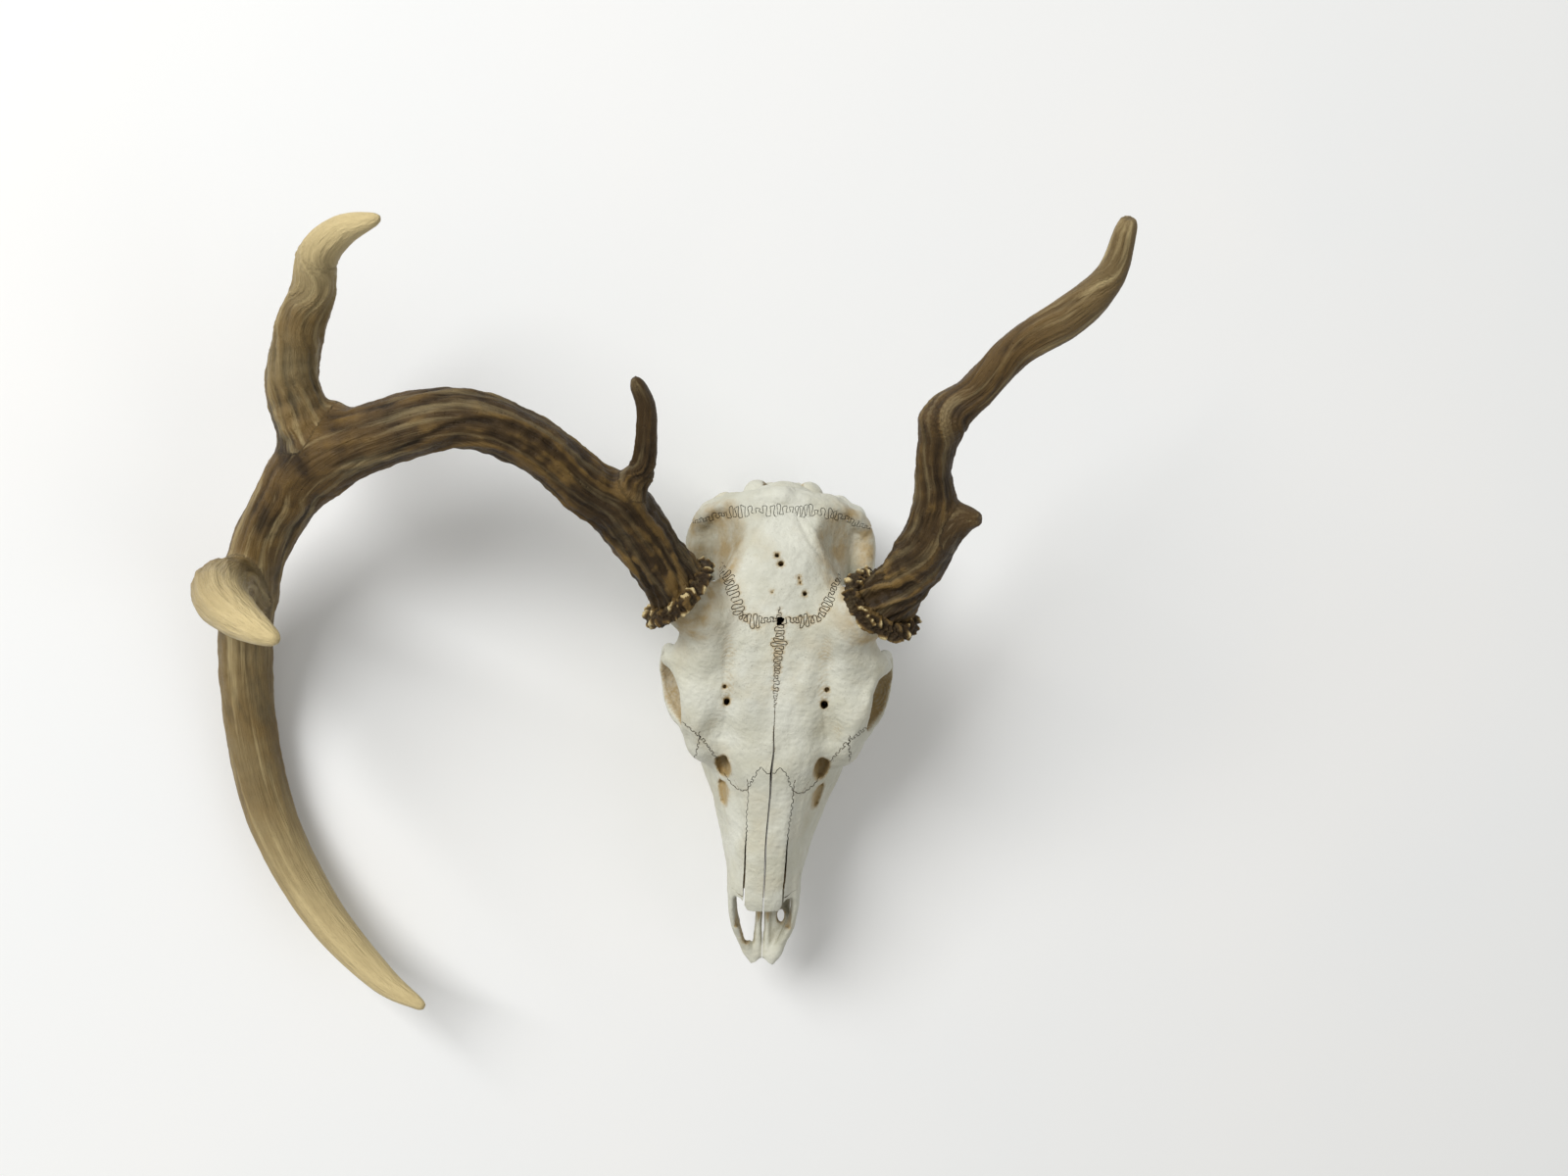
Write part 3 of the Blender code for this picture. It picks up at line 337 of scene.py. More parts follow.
def lump(shape, side=1, sides=48):
    """An ellipsoid: rings of latitude v, each cos v wide and sin v high."""
    centre, half = np.array(shape, float)
    v = np.linspace(-math.pi / 2, math.pi / 2, sides // 2 + 1)[1:-1, None]
    u = np.linspace(0, 2 * math.pi, sides, endpoint=False)
    ball = np.stack([np.cos(v) * np.cos(u), np.cos(v) * np.sin(u), np.sin(v) + 0 * u], axis=-1)
    return closed_shape((ball * half + centre) * (side, 1, 1))


def socket_axes(side):
    """The middle of an eye socket, and two directions across it and one out of it, as rows."""
    out = np.array(ORBIT_FACING) * (side, 1, 1)
    out /= np.linalg.norm(out)
    across = np.cross((0, 0, 1), out)
    across /= np.linalg.norm(across)
    return np.array(ORBIT_CENTRE) * (side, 1, 1), np.array([across, np.cross(out, across), out])


def socket_ring(side):
    """The rim of an eye socket: a torus, a small circle v carried round a large circle u."""
    centre, axes = socket_axes(side)
    u = np.linspace(0, 2 * math.pi, 121)[:, None]
    v = np.linspace(0, 2 * math.pi, 24, endpoint=False)
    reach = ORBIT_RADIUS + ORBIT_RIM / 2 + ORBIT_RIM * np.cos(v)
    ring = np.stack([reach * np.cos(u), reach * np.sin(u), ORBIT_RIM * np.sin(v) + 0 * u], axis=-1)
    return closed_shape(ring @ axes + centre)


def socket_hollow(side):
    """The bowl of an eye socket: half of an egg, open outwards."""
    centre, axes = socket_axes(side)
    v = np.linspace(-math.pi / 2, math.pi / 2, 37)[1:-1, None]
    u = np.linspace(0, 2 * math.pi, 72, endpoint=False)
    wide = ORBIT_RADIUS - 0.6
    egg = np.stack([wide * np.cos(v) * np.cos(u), wide * np.cos(v) * np.sin(u), 21 * np.sin(v) - 3 + 0 * u], axis=-1)
    return closed_shape(egg @ axes + centre)


class Clay:
    """A solid held as a grid of distances to its surface, negative inside it."""

    def __init__(self, low, high, grain):
        self.low, self.grain = np.array(low, float), grain
        self.count = ((np.array(high) - self.low) / grain).astype(int) + 1
        self.field = np.full(self.count, FAR, np.float32)
        self.openings = self.field.copy()

    def distances(self, shape):
        """The distances to a closed shape's surface in the part of the grid round it, and where that part is."""
        points, triangles = shape
        start = np.maximum(np.floor((points.min(0) - REACH - self.low) / self.grain).astype(int), 0)
        end = np.minimum(np.ceil((points.max(0) + REACH - self.low) / self.grain).astype(int) + 1, self.count)
        volume = vdb.FloatGrid.createLevelSetFromPolygons(
            np.float32((points - self.low) / self.grain),
            triangles=np.uint32(triangles),
            exBandWidth=REACH / self.grain,
            inBandWidth=REACH / self.grain,
        )
        block = np.empty(end - start, np.float32)
        volume.copyToArray(block, ijk=tuple(int(cell) for cell in start))
        block *= self.grain
        block[block > REACH - 0.01] = FAR
        return block, tuple(slice(a, b) for a, b in zip(start, end))

    def lay_on(self, shape, blend):
        """Adds a shape: the lesser of both distances, less a fillet where they differ by under `blend`."""
        block, where = self.distances(shape)
        overlap = np.maximum(blend - np.abs(self.field[where] - block), 0)
        self.field[where] = np.minimum(self.field[where], block) - overlap**2 / (4 * blend)

    def scoop_out(self, shape, blend):
        """Takes a shape away, with an edge rounded in the same way, and remembers where its openings are."""
        block, where = self.distances(shape)
        self.openings[where] = np.minimum(self.openings[where], block)
        overlap = np.maximum(blend - np.abs(self.field[where] + block), 0)
        self.field[where] = np.maximum(self.field[where], -block) + overlap**2 / (4 * blend)

    def at(self, values, points):
        """The grid's values at the grid points nearest to these points."""
        cells = np.round((points - self.low) / self.grain).astype(int).clip(0, self.count - 1)
        return values[tuple(cells.T)]

    def surface(self):
        """Points and four-sided faces where the distance is nought."""
        volume = vdb.FloatGrid(FAR)
        volume.copyFromArray(self.field)
        points, quads = volume.convertToQuads(0.0)
        return points * self.grain + self.low, quads[:, ::-1].astype(np.int32)


def new_object(name, points, faces):
    """An object from points in millimetres."""
    mesh = bpy.data.meshes.new(name)
    mesh.from_pydata((points * MM).tolist(), [], faces.tolist())
    obj = bpy.data.objects.new(name, mesh)
    bpy.context.scene.collection.objects.link(obj)
    return obj


def points_of(mesh, normals=False):
    """The mesh's points in millimetres, or the directions in which its surface faces there."""
    found = np.empty(len(mesh.vertices) * 3, np.float32)
    if normals:
        mesh.vertex_normals.foreach_get("vector", found)
        return found.reshape(-1, 3)
    mesh.vertices.foreach_get("co", found)
    return found.reshape(-1, 3) / MM


def move_points(mesh, points):
    mesh.vertices.foreach_set("co", (points * MM).astype(np.float32).ravel())
    mesh.update()


def relaxed(mesh, points, rounds):
    """Points drawn to the middle of their neighbours and pushed back out again, which rounds but doesn't shrink."""
    edges = np.empty(len(mesh.edges) * 2, np.int32)
    mesh.edges.foreach_get("vertices", edges)
    start, end = edges.reshape(-1, 2).T
    both, other = np.concatenate([start, end]), np.concatenate([end, start])
    count = np.bincount(both, minlength=len(points))[:, None]
    for pull in (0.6, -0.62) * rounds:
        middle = np.stack([np.bincount(both, points[other, k], len(points)) for k in range(3)], axis=1) / count
        points = points + (middle - points) * pull
    return points


both_sides = (1, -1)
clay = Clay(SKULL_LOW, SKULL_HIGH, SKULL_GRAIN)
clay.lay_on(section_loft(BRAINCASE), 2)
for side in both_sides:
    clay.scoop_out(bar(TEMPLE, side, sides=64), 7)
temples = clay.openings.copy()
clay.openings[:] = FAR
clay.lay_on(section_loft(MUZZLE), 5)
clay.lay_on(section_loft(NASALS), 3)
clay.lay_on(section_loft(FOREHEAD), 7)
clay.lay_on(lump(OCCIPITAL_BOSS), 8)
for side in both_sides:
    for stations, blend in ((PEDICLE, 9), (POSTORBITAL, 7), (CHEEK_BONE, 5), (TEMPLE_CREST, 5), (EAR_TUBE, 4)):
        clay.lay_on(bar(stations, side), blend)
    for shape, blend in ((BROW, 9), (LACRIMAL, 9), (CHEEK_FLOOR, 5), (SQUAMOSAL, 6), (EAR_CAPSULE, 5)):
        clay.lay_on(lump(shape, side), blend)
    for shape, blend in ((MASTOID, 5), (CONDYLE, 4), (TEAR_KNOB, 3)):
        clay.lay_on(lump(shape, side), blend)
    for stations, blend in ((PTERYGOID, 3), (JUGULAR_PROCESS, 4), (NUCHAL_CREST, 8), (MUZZLE_EDGE, 3)):
        clay.lay_on(bar(stations, side), blend)
    clay.lay_on(socket_ring(side), 4)
for foot, facing in (RIGHT_FOOT, LEFT_FOOT):
    top = np.array(foot) + np.linspace(-0.3, 40, 6)[:, None] * unit(facing)
    clay.scoop_out(bar([(*point, 30, 30) for point in top]), 0.8)
clay.lay_on(bar(SKULL_BASE), 4)
for side in both_sides:
    clay.scoop_out(bar(BROW_VALLEY, side), 6)
for table in (NASAL_CAVITY, BRAIN_OPENING, CHOANA, PALATE_VAULT):
    clay.scoop_out(section_loft(table), 1.6)
for side, slot in ((1, LEFT_PALATE_SLOT), (-1, RIGHT_PALATE_SLOT)):
    clay.scoop_out(socket_hollow(side), 1.8)
    clay.lay_on(bar(PALATE_SPUR, side), 2)
    clay.lay_on(bar(SCROLL_BONE, side), 2)
    if side > 0:
        clay.lay_on(bar(PALATE_PLATE), 2)
    clay.scoop_out(lump(slot, side), 1.2)
    for stations in (UPPER_WINDOW, LOWER_WINDOW, EAR_HOLE, BROW_HOLE, SMALL_BROW_HOLE):
        clay.scoop_out(bar(stations, side, step=0.8), 0.8)
clay.lay_on(bar(VOMER), 2)
for x, y, radius in CROWN_HOLES:
    clay.scoop_out(bar(((x, y, 106, radius, radius), (x, y - 3, 91, radius, radius)), step=0.8), 0.5)
skull = new_object("skull", *clay.surface())
move_points(skull.data, relaxed(skull.data, points_of(skull.data), 3))


# ---------------------------------------------------------------------------------------------------------
# The sutures, which part the box into its bones. On the crown each is a seam of interlocked fingers, drawn as
# a path that winds from side to side; on the face they run smooth, and the midline has dried open to a crack.
SUTURE_WIDTH = 0.32
FINGER_LENGTH = 3.1  # along the seam, from one finger to the next
PATH_STEP = 0.22
NASAL_EDGE = 10.8
ARCH_SUTURE = ((38, 39), (56, 31))
NASION = (-0.4, -46)

# Seams seen from above: x, y, how far the fingers reach, width
CORONAL = (
    (-70, 60, 0, 0.3),
    (-42, 62, 0.8, 0.3),
    (-33, 59, 1.8, 0.3),
    (-26, 52, 3.7, 0.40),
    (-21.5, 42, 4.1, 0.40),
    (-18, 32.5, 3.7, 0.40),
    (-9, 31.5, 3.7, 0.40),
    (0, 31.8, 3.2, 0.40),
    (9, 32.2, 3.7, 0.40),
    (19.5, 33, 3.8, 0.40),
    (24.5, 42, 4.1, 0.40),
    (29.5, 52.5, 3.2, 0.40),
    (37, 60, 1.4, 0.3),
    (46, 62, 0.6, 0.3),
    (70, 60, 0, 0.3),
)
LAMBDOID = (
    (-62, 79, 0, 0.3),
    (-45, 80.5, 0.8, 0.3),
    (-31, 84, 2.6, 0.34),
    (-16, 86.2, 3.6, 0.34),
    (0, 86.8, 3.8, 0.34),
    (16, 86.6, 3.6, 0.34),
    (28, 85.5, 2.8, 0.34),
    (45, 80.5, 0.8, 0.3),
    (62, 79, 0, 0.3),
)
INTERFRONTAL = (
    (0.5, 38.5, 0, 0.3),
    (0.5, 34.5, 1.2, 0.34),
    (1.0, 28, 4.6, 0.40),
    (0.8, 17, 3.8, 0.40),
    (0.2, 7, 2.4, 0.36),
    (0, -3, 1.2, 0.3),
    (-0.2, -12, 0.4, 0.3),
    (-0.2, -19, 0, 0.3),
    (-0.3, -26, 0, 0.5),
    (0.1, -35, 0, 0.8),
    (*NASION, 0, 1.2),
    (-0.1, -56, 0, 0.9),
    (-0.2, -68, 0, 0.8),
    (-0.3, -83, 0, 0.9),
    (0.2, -100, 0, 0.9),
    (0, -123, 0, 0.8),
    (0, -178, 0, 0.8),
)
FRONTAL_FRONT = (
    (-70, -9, 0, 0.3),
    (-44, -24, 0.7, 0.3),
    (-33, -35, 0.8, 0.3),
    (-24, -50, 0.3, 0.3),
    (-17, -56, 0.5, 0.34),
    (-12.4, -55.8, 0.3, 0.34),
    (-9.5, -50, 0.6, 0.34),
    (-6, -43.6, 0.3, 0.34),
    (-2.6, -46.4, 0.2, 0.4),
    NASION + (0, 0.5),
    (1.4, -46, 0.2, 0.4),
    (3.8, -43.4, 0.3, 0.34),
    (7.6, -47, 0.4, 0.34),
    (10.2, -53, 0.6, 0.34),
    (12.6, -56.2, 0.3, 0.34),
    (17, -56.4, 0.5, 0.34),
    (24, -50, 0.3, 0.3),
    (33, -35, 0.8, 0.3),
    (44, -24, 0.7, 0.3),
    (70, -9, 0, 0.3),
)
CHEEK_SUTURE = ((42, 14, 0, 0.3), (40, -8, 0.3, 0.3), (38, -28, 0.5, 0.3), (39.5, -38, 0.6, 0.3), (42, -52, 0, 0.3))
CHEEK_FRONT_Y = -25.8  # in front of this the seam runs up to the brow
NASAL_SIDE = (
    (NASAL_EDGE + 1.2, -50, 0.2, 0.3),
    (NASAL_EDGE + 0.6, -62, 0.5, 0.3),
    (NASAL_EDGE, -75, 0.4, 0.3),
    (NASAL_EDGE, -86, 0, 0.7),
    (NASAL_EDGE - 0.3, -100, 0, 1.0),
    (NASAL_EDGE - 0.6, -114, 0, 0.9),
    (NASAL_EDGE - 0.8, -137, 0, 0.9),
)
MAXILLA_BACK = ((-46, 5, 0, 0.3), (46, 5, 0, 0.3))
# and those seen from the side: y, z, how far the fingers reach, width
MUZZLE_SUTURE = (
    (-113.5, 80, 0, 0.3),
    (-113, 53, 0, 0.5),
    (-103, 44, 0.5, 0.3),
    (-111, 30, 0.5, 0.3),
    (-123, 6, 0, 0.3),
)
INSIDE_NOSE = 50  # above this the seam stops at the nasal bones
# The sheet between the frontal bones and the braincase under them: y, z
FRONTAL_FLOOR = ((-60, 72), (-44, 71), (-28, 65), (10, 66.5), (34, 73), (50, 80), (70, 84))
# and the height at which the winding midline gives way to a straight one: in front, inside the nose
MIDLINE_STEP = ((-178, 40), (-116, 45), (-104, 50), (-60, 60), (-50, 68), (-44, 71), (-28, 65), (10, 66.5), (34, 73))

# A point near the middle of each bone, by which the pieces are told apart
BONES = {
    "cranium": (0, 66, 58),
    "occipital": (0, 95, 60),
    "frontal_left": (27, 12, 84),
    "frontal_right": (-27, 12, 84),
    "maxilla_left": (20, -45, 38),
    "maxilla_right": (-20, -45, 38),
    "nasal_left": (6, -84, 67),
    "nasal_right": (-6, -84, 67),
    "premaxilla_left": (15, -124, 31),
    "premaxilla_right": (-15, -124, 31),
    "zygomatic_left": (55, -4, 48),
    "zygomatic_right": (-55, -4, 48),
}


def slab(middle, half):
    """A closed sheet: a grid of points moved out by `half` to one face and in by it to the other, with a rim."""
    rows, columns, _ = middle.shape
    points = np.concatenate([(middle + half).reshape(-1, 3), (middle - half).reshape(-1, 3)])
    number = np.arange(rows * columns).reshape(rows, columns)
    face = np.stack([number[:-1, :-1], number[1:, :-1], number[1:, 1:], number[:-1, 1:]], -1).reshape(-1, 4)
    rim = np.concatenate([number[:-1, 0], number[-1, :-1], number[:0:-1, -1], number[0, :0:-1]])
    ahead = np.roll(rim, -1)
    below = rows * columns
    sides = np.column_stack([ahead, rim, rim + below, ahead + below])
    faces = np.vstack([face, face[:, ::-1] + below, sides])
    corner = points[faces[:, 0]]
    turned = np.cross(points[faces[:, 1]] - corner, points[faces[:, 2]] - corner)
    inside_out = (turned * corner).sum() < 0
    return points, faces[:, ::-1] if inside_out else faces


def slow_noise(count, span, chance):
    """A smooth random row between -1 and 1 that takes a new value every `span` entries."""
    knots = chance.uniform(-1, 1, count // span + 3)
    return np.interp(np.arange(count) / span, np.arange(len(knots)), knots)


def winding(seam, seed):
    """A seam's path: at phase p it swings aside by its reach times sin p, and sways back along itself by sin 2p."""
    chance = np.random.default_rng(seed)
    rows = np.asarray(seam, float)
    rows = smooth_rows(np.column_stack([rows[:, :2], np.zeros(len(rows)), rows[:, 2:]]), PATH_STEP)
    ahead = np.gradient(rows[:, :2], axis=0)
    ahead /= np.linalg.norm(ahead, axis=1)[:, None]
    aside = ahead[:, ::-1] * (-1, 1)
    count, span = len(rows), int(FINGER_LENGTH / PATH_STEP)
    step = np.linalg.norm(np.diff(rows[:, :2], axis=0, prepend=rows[:1, :2]), axis=1)
    phase = np.cumsum(2 * math.pi / FINGER_LENGTH * step * (1 + 0.4 * slow_noise(count, span, chance)))
    reach = rows[:, 3] * (0.75 + 0.45 * slow_noise(count, span, chance))
    swing = reach * np.tanh(1.3 * np.sin(phase)) + 0.3 * reach * slow_noise(count, span // 4, chance)
    sway = np.minimum(0.2 * FINGER_LENGTH, reach) * np.sin(2 * phase)
    path = rows[:, :2] + aside * swing[:, None] - ahead * sway[:, None]
    return path, rows[:, 4]


def seam_wall(seam, start, end, seed=1, axis="Z", side=1, below=FAR):
    """A wall as thick as the seam is wide, along its winding path and from start to end along the axis.

    A start or end given as a table of y and z follows it.
    """
    path, width = winding(seam, seed)
    kept = path[:, 1] < below
    path, width = path[kept], width[kept]
    ahead = np.gradient(path, axis=0)
    ahead /= np.maximum(np.linalg.norm(ahead, axis=1), 1e-6)[:, None]
    aside = ahead[:, ::-1] * (-1, 1) * width[:, None] / 2
    level = np.zeros(len(path))
    if axis == "Z":
        ends = [np.interp(path[:, 1], *np.array(rail).T) if np.ndim(rail) else level + rail for rail in (start, end)]
        middle = np.stack([np.column_stack([path, height]) for height in ends], 1)
        half = np.column_stack([aside, level])[:, None].repeat(2, 1)
    else:
        middle = np.stack([np.column_stack([level + place, path]) for place in (start, end)], 1)
        half = np.column_stack([level, aside])[:, None].repeat(2, 1)
    return slab(middle * (side, 1, 1), half * (side, 1, 1))


def cut_out(obj, name, shapes):
    """Cuts closed shapes that don't meet out of the object."""
    sizes = np.cumsum([0] + [len(points) for points, _ in shapes])
    points = np.vstack([points for points, _ in shapes])
    faces = np.vstack([faces + start for (_, faces), start in zip(shapes, sizes)])
    cutter = new_object(name, points, faces)
    change = obj.modifiers.new(name, "BOOLEAN")
    change.operation = "DIFFERENCE"
    change.solver = "MANIFOLD"
    change.object = cutter
    graph = bpy.context.evaluated_depsgraph_get()
    graph.update()
    mesh = bpy.data.meshes.new_from_object(obj.evaluated_get(graph))
    obj.modifiers.clear()
    obj.data = mesh
    bpy.data.objects.remove(cutter, do_unlink=True)


def frontal_floor():
    """The sheet under the frontal bones, from before the fingers of the seam in front to behind those at the back."""
    across = np.arange(-70, 70.5, 1.0)
    edges = []
    for seam, way, swing in ((FRONTAL_FRONT, -1, 2), (CORONAL, 1, 5)):
        x, y, reach, _ = np.array(seam).T
        edge = np.interp(across, x, y + way * (1.5 * reach + 1.2))
        nearby = [np.roll(edge, shift) * way for shift in range(-swing, swing + 1)]
        edges.append(np.max(nearby, axis=0) * way)
    start, end = edges
    y = start[:, None] + (end - start)[:, None] * np.linspace(0, 1, 12)
    z = np.interp(y, *np.array(FRONTAL_FLOOR).T)
    middle = np.stack([across[:, None] + 0 * y, y, z], -1)
    return slab(middle, np.array((0, 0, SUTURE_WIDTH / 2)))


cut_out(skull, "lambdoid", [seam_wall(LAMBDOID, -12, 122)])
cut_out(skull, "frontal_floor", [frontal_floor()])
cut_out(skull, "coronal", [seam_wall(CORONAL, 70, 130, seed=2)])
cut_out(skull, "frontal_front", [seam_wall(FRONTAL_FRONT, 60, 110, seed=3)])
cut_out(skull, "midline", [seam_wall(INTERFRONTAL, MIDLINE_STEP, 120, seed=34)])
below_midline = [(y, z + 0.1) for y, z in MIDLINE_STEP]
cut_out(skull, "midline_floor", [seam_wall(((0, 5.1, 0, 0.3), (0, -178, 0, 0.3)), -12, below_midline)])
cut_out(skull, "maxilla_back", [seam_wall(MAXILLA_BACK, -12, 66.6)])
cut_out(skull, "muzzle_floor", [seam_wall(MUZZLE_SUTURE, -NASAL_EDGE, NASAL_EDGE, 5, "X", below=INSIDE_NOSE)])
for seam, start, end, below in (
    (CHEEK_SUTURE, 20.3, 66.37, FAR),
    (CHEEK_SUTURE, 66.1, 110, CHEEK_FRONT_Y),
    (tuple((x, y, 0.5, 0.3) for x, y in ARCH_SUTURE), 40, 64, FAR),
    (NASAL_SIDE, 47, 90, FAR),
):
    walls = [seam_wall(seam, start, end, 16 + side, side=side, below=below) for side in both_sides]
    cut_out(skull, "side_seam", walls)
muzzle_sides = [seam_wall(MUZZLE_SUTURE, NASAL_EDGE - 1, 40, 5, "X", side) for side in both_sides]
cut_out(skull, "muzzle_side", muzzle_sides)


def split_by_seed(obj, seeds):
    """Parts a cut body into its loose pieces and keeps, for each seed, the piece that comes nearest to it."""
    for other in bpy.context.view_layer.objects:
        other.select_set(other == obj)
    bpy.context.view_layer.objects.active = obj
    bpy.ops.mesh.separate(type="LOOSE")
    pieces = [piece for piece in bpy.context.selected_objects if piece.type == "MESH"]
    places = [points_of(piece.data) for piece in pieces]
    found = {}
    for name, seed in seeds.items():
        near = [float(np.linalg.norm(place - seed, axis=1).min()) for place in places]
        found[name] = pieces[near.index(min(near))]
        found[name].name = name
    for piece in pieces:
        if piece not in found.values():
            bpy.data.objects.remove(piece, do_unlink=True)
    return found


bones = split_by_seed(skull, BONES)


# ---------------------------------------------------------------------------------------------------------
# The bones, weathered. Dry bone is pitted and veined on the outside, stained round the antlers' feet and brown
# in its cracks. Painted shade tans the temples and the inside of the nose and sockets, and darkens the hollows.
# The muzzle of this buck leans to its right.
MUZZLE_LEAN = -3.0
LEAN_START, LEAN_LENGTH = -20, 95
BONE_RELIEF = ((19, 0.28), (8, 0.09), (3.6, 0.06))  # size of the swellings, and their height
INSIDE_DEPTH = 1.3
STAIN_REACH = 30  # round an antler's foot
TEMPLE_LINE = ((15.7, 76.5), (21, 66), (27.5, 56.7), (31, 47))
GROOVES = (((8, 84), (14, 72), (22, 62)), ((26.5, -9), (26.2, 2), (25, 14)), ((24.5, -12), (25.5, -22), (28, -30)))
NEAR = 1e-3


def ripples(points, size, seed, waves=14):
    """Smooth random swellings between -1 and 1: the mean of sines along random directions, about `size` long."""
    chance = np.random.default_rng(seed)
    ways = chance.normal(size=(3, waves))
    ways *= chance.uniform(0.7, 1.5, waves) * 2 * math.pi / size / np.linalg.norm(ways, axis=0)
    return np.sin(points @ ways + chance.uniform(0, 2 * math.pi, waves)).sum(1) / math.sqrt(waves)


def slope(values, points, step=1.6):
    """The direction in which the grid's values rise fastest, of length 1, or nought where they are level."""
    rise = np.stack([clay.at(values, points + e) - clay.at(values, points - e) for e in np.eye(3) * step], axis=1)
    return rise / np.maximum(np.linalg.norm(rise, axis=1), NEAR)[:, None]


def line_distance(points, line):
    """How far points lie from a line of x, y rows, seen from above."""
    line = smooth_rows([(x, y, 0) for x, y in line], 1.0)[:, :2]
    return np.sqrt(((points[:, None, :2] - line) ** 2).sum(2).min(1))


def set_colours(mesh, name, channels):
    """Four numbers from 0 to 1 for each point, as a colour attribute."""
    values = np.stack(channels, axis=1).clip(0, 1).astype(np.float32)
    mesh.color_attributes.new(name, "FLOAT_COLOR", "POINT").data.foreach_set("color", values.ravel())


def beside(mesh, chosen):
    """The chosen points and those one edge away."""
    edges = np.empty(len(mesh.edges) * 2, np.int32)
    mesh.edges.foreach_get("vertices", edges)
    start, end = edges.reshape(-1, 2).T
    near = chosen.copy()
    near[start[chosen[end]]] = True
    near[end[chosen[start]]] = True
    return near


def weather(mesh):
    """Raises the relief of dry bone along the slope of the clay and writes its colours: painted shade inside, painted
    temple shade with the stains, seam, and openness for painted shade in hollows.
    """
    points = points_of(mesh)
    depth = clay.at(clay.field, points)
    outward = slope(clay.field, points)
    # Painted shade: tan inside the nose, palate, sockets and the other scooped openings
    inside = 1 - clay.at(clay.openings, points) / INSIDE_DEPTH
    feet = [np.linalg.norm(points - foot, axis=1) for foot, _ in (RIGHT_FOOT, LEFT_FOOT)]
    # Tan painted shade in the temple hollows, and a stain round each antler's foot
    stain_and_temple_shade = np.maximum(1 - clay.at(temples, points) / 5, 1.1 - np.minimum(*feet) / STAIN_REACH)
    seam = beside(mesh, depth < -0.9)
    crown = (points[:, 2] > 80) & (points[:, 1] > -4)
    halo = beside(mesh, beside(mesh, seam)) & crown
    lift = sum(height * ripples(points, size, 5 + k) for k, (size, height) in enumerate(BONE_RELIEF))
    top = points[:, 2] > 70
    for side in both_sides:
        flat = points * (side, 1, 1)
        ridge = line_distance(flat[top], TEMPLE_LINE)
        lift[top] += 0.7 * np.exp(-((ridge / 1.6) ** 2))
        for line in GROOVES:
            lift[top] -= 0.55 * np.exp(-((line_distance(flat[top], line) / 1.1) ** 2))
    # Openness: low where the surface lies in a hollow, which the bone material darkens as painted shade
    wide = [clay.at(clay.field, points + outward * reach) / reach for reach in (3.2, 8)]
    openness = 0.5 * wide[0].clip(0, 1) + 0.5 * wide[1].clip(0, 1)
    set_colours(mesh, "tint", (inside, np.maximum(stain_and_temple_shade, halo * 0.7), seam * 1.0, openness))
    shallow = np.exp(-((depth / 2.5) ** 2))
    points = points + outward * (lift * shallow)[:, None]
    share = ((LEAN_START - points[:, 1]) / LEAN_LENGTH).clip(0, 1)
    points[:, 0] += MUZZLE_LEAN * share**2 * (3 - 2 * share)
    return points


def lay_down(obj, points):
    """Puts points of the skull's frame where they lie, on the floor and within the measured model's box."""
    low, high = np.array(cad_box)
    obj.data.vertices.foreach_set("co", laid(points).clip(low, high).astype(np.float32).ravel())
    obj.data.shade_smooth()
    obj.data.set_sharp_from_angle(angle=math.radians(42))
    obj.data.update()


def add(tree, kind, inputs=None, **settings):
    """A shader node: its settings by name, and its inputs by name or number, each a value or a socket to link."""
    made = tree.nodes.new(kind)
    for name, value in settings.items():
        setattr(made, name, value)
    for key, value in (inputs or {}).items():
        if isinstance(value, bpy.types.NodeSocket):
            tree.links.new(value, made.inputs[key])
        else:
            made.inputs[key].default_value = value
    return made


def mix(tree, share, first, second, how="MIX"):
    """The colour between two, as far as the share says."""
    inputs = {0: share, 6: first, 7: second}
    return add(tree, "ShaderNodeMix", inputs, data_type="RGBA", blend_type=how).outputs[2]


def ramp(tree, value, start, end, low=0.0, high=1.0):
    """A value between start and end, drawn out to low and high."""
    inputs = {"Value": value, "From Min": start, "From Max": end, "To Min": low, "To Max": high}
    return add(tree, "ShaderNodeMapRange", inputs, clamp=True).outputs["Result"]


def times(tree, *values):
    """The product of some values."""
    product = values[0]
    for value in values[1:]:
        product = add(tree, "ShaderNodeMath", {0: product, 1: value}, operation="MULTIPLY").outputs[0]
    return product


def noise(tree, where, per_metre, start=0.35, end=0.65, detail=4, rough=0.55):
    """Cloudy noise from 0 to 1, with this many clouds to a metre."""
    inputs = {"Vector": where, "Scale": per_metre, "Detail": detail, "Roughness": rough}
    return ramp(tree, add(tree, "ShaderNodeTexNoise", inputs).outputs["Fac"], start, end)


def pores(tree, where, per_metre, size):
    """1 in small round pores, one in each cell of a random pattern."""
    cells = add(tree, "ShaderNodeTexVoronoi", {"Vector": where, "Scale": per_metre}).outputs["Distance"]
    return ramp(tree, cells, size, size * 0.4)


def bumps(tree, *layers):
    """A normal from layers of (height, strength, depth in metres), the broadest first."""
    normal = None
    for height, strength, depth in layers:
        inputs = {"Height": height, "Strength": strength, "Distance": depth}
        if normal:
            inputs["Normal"] = normal
        normal = add(tree, "ShaderNodeBump", inputs).outputs["Normal"]
    return normal


def new_material(name):
    made = bpy.data.materials.new(name)
    made.use_nodes = True
    tree = made.node_tree
    return made, tree, tree.nodes["Principled BSDF"]


def painted(tree, name):
    """The channels of a colour attribute: red, green, blue and alpha."""
    source = add(tree, "ShaderNodeAttribute", attribute_name=name)
    parts = add(tree, "ShaderNodeSeparateColor", {"Color": source.outputs["Color"]})
    return (*parts.outputs[:3], source.outputs["Alpha"])


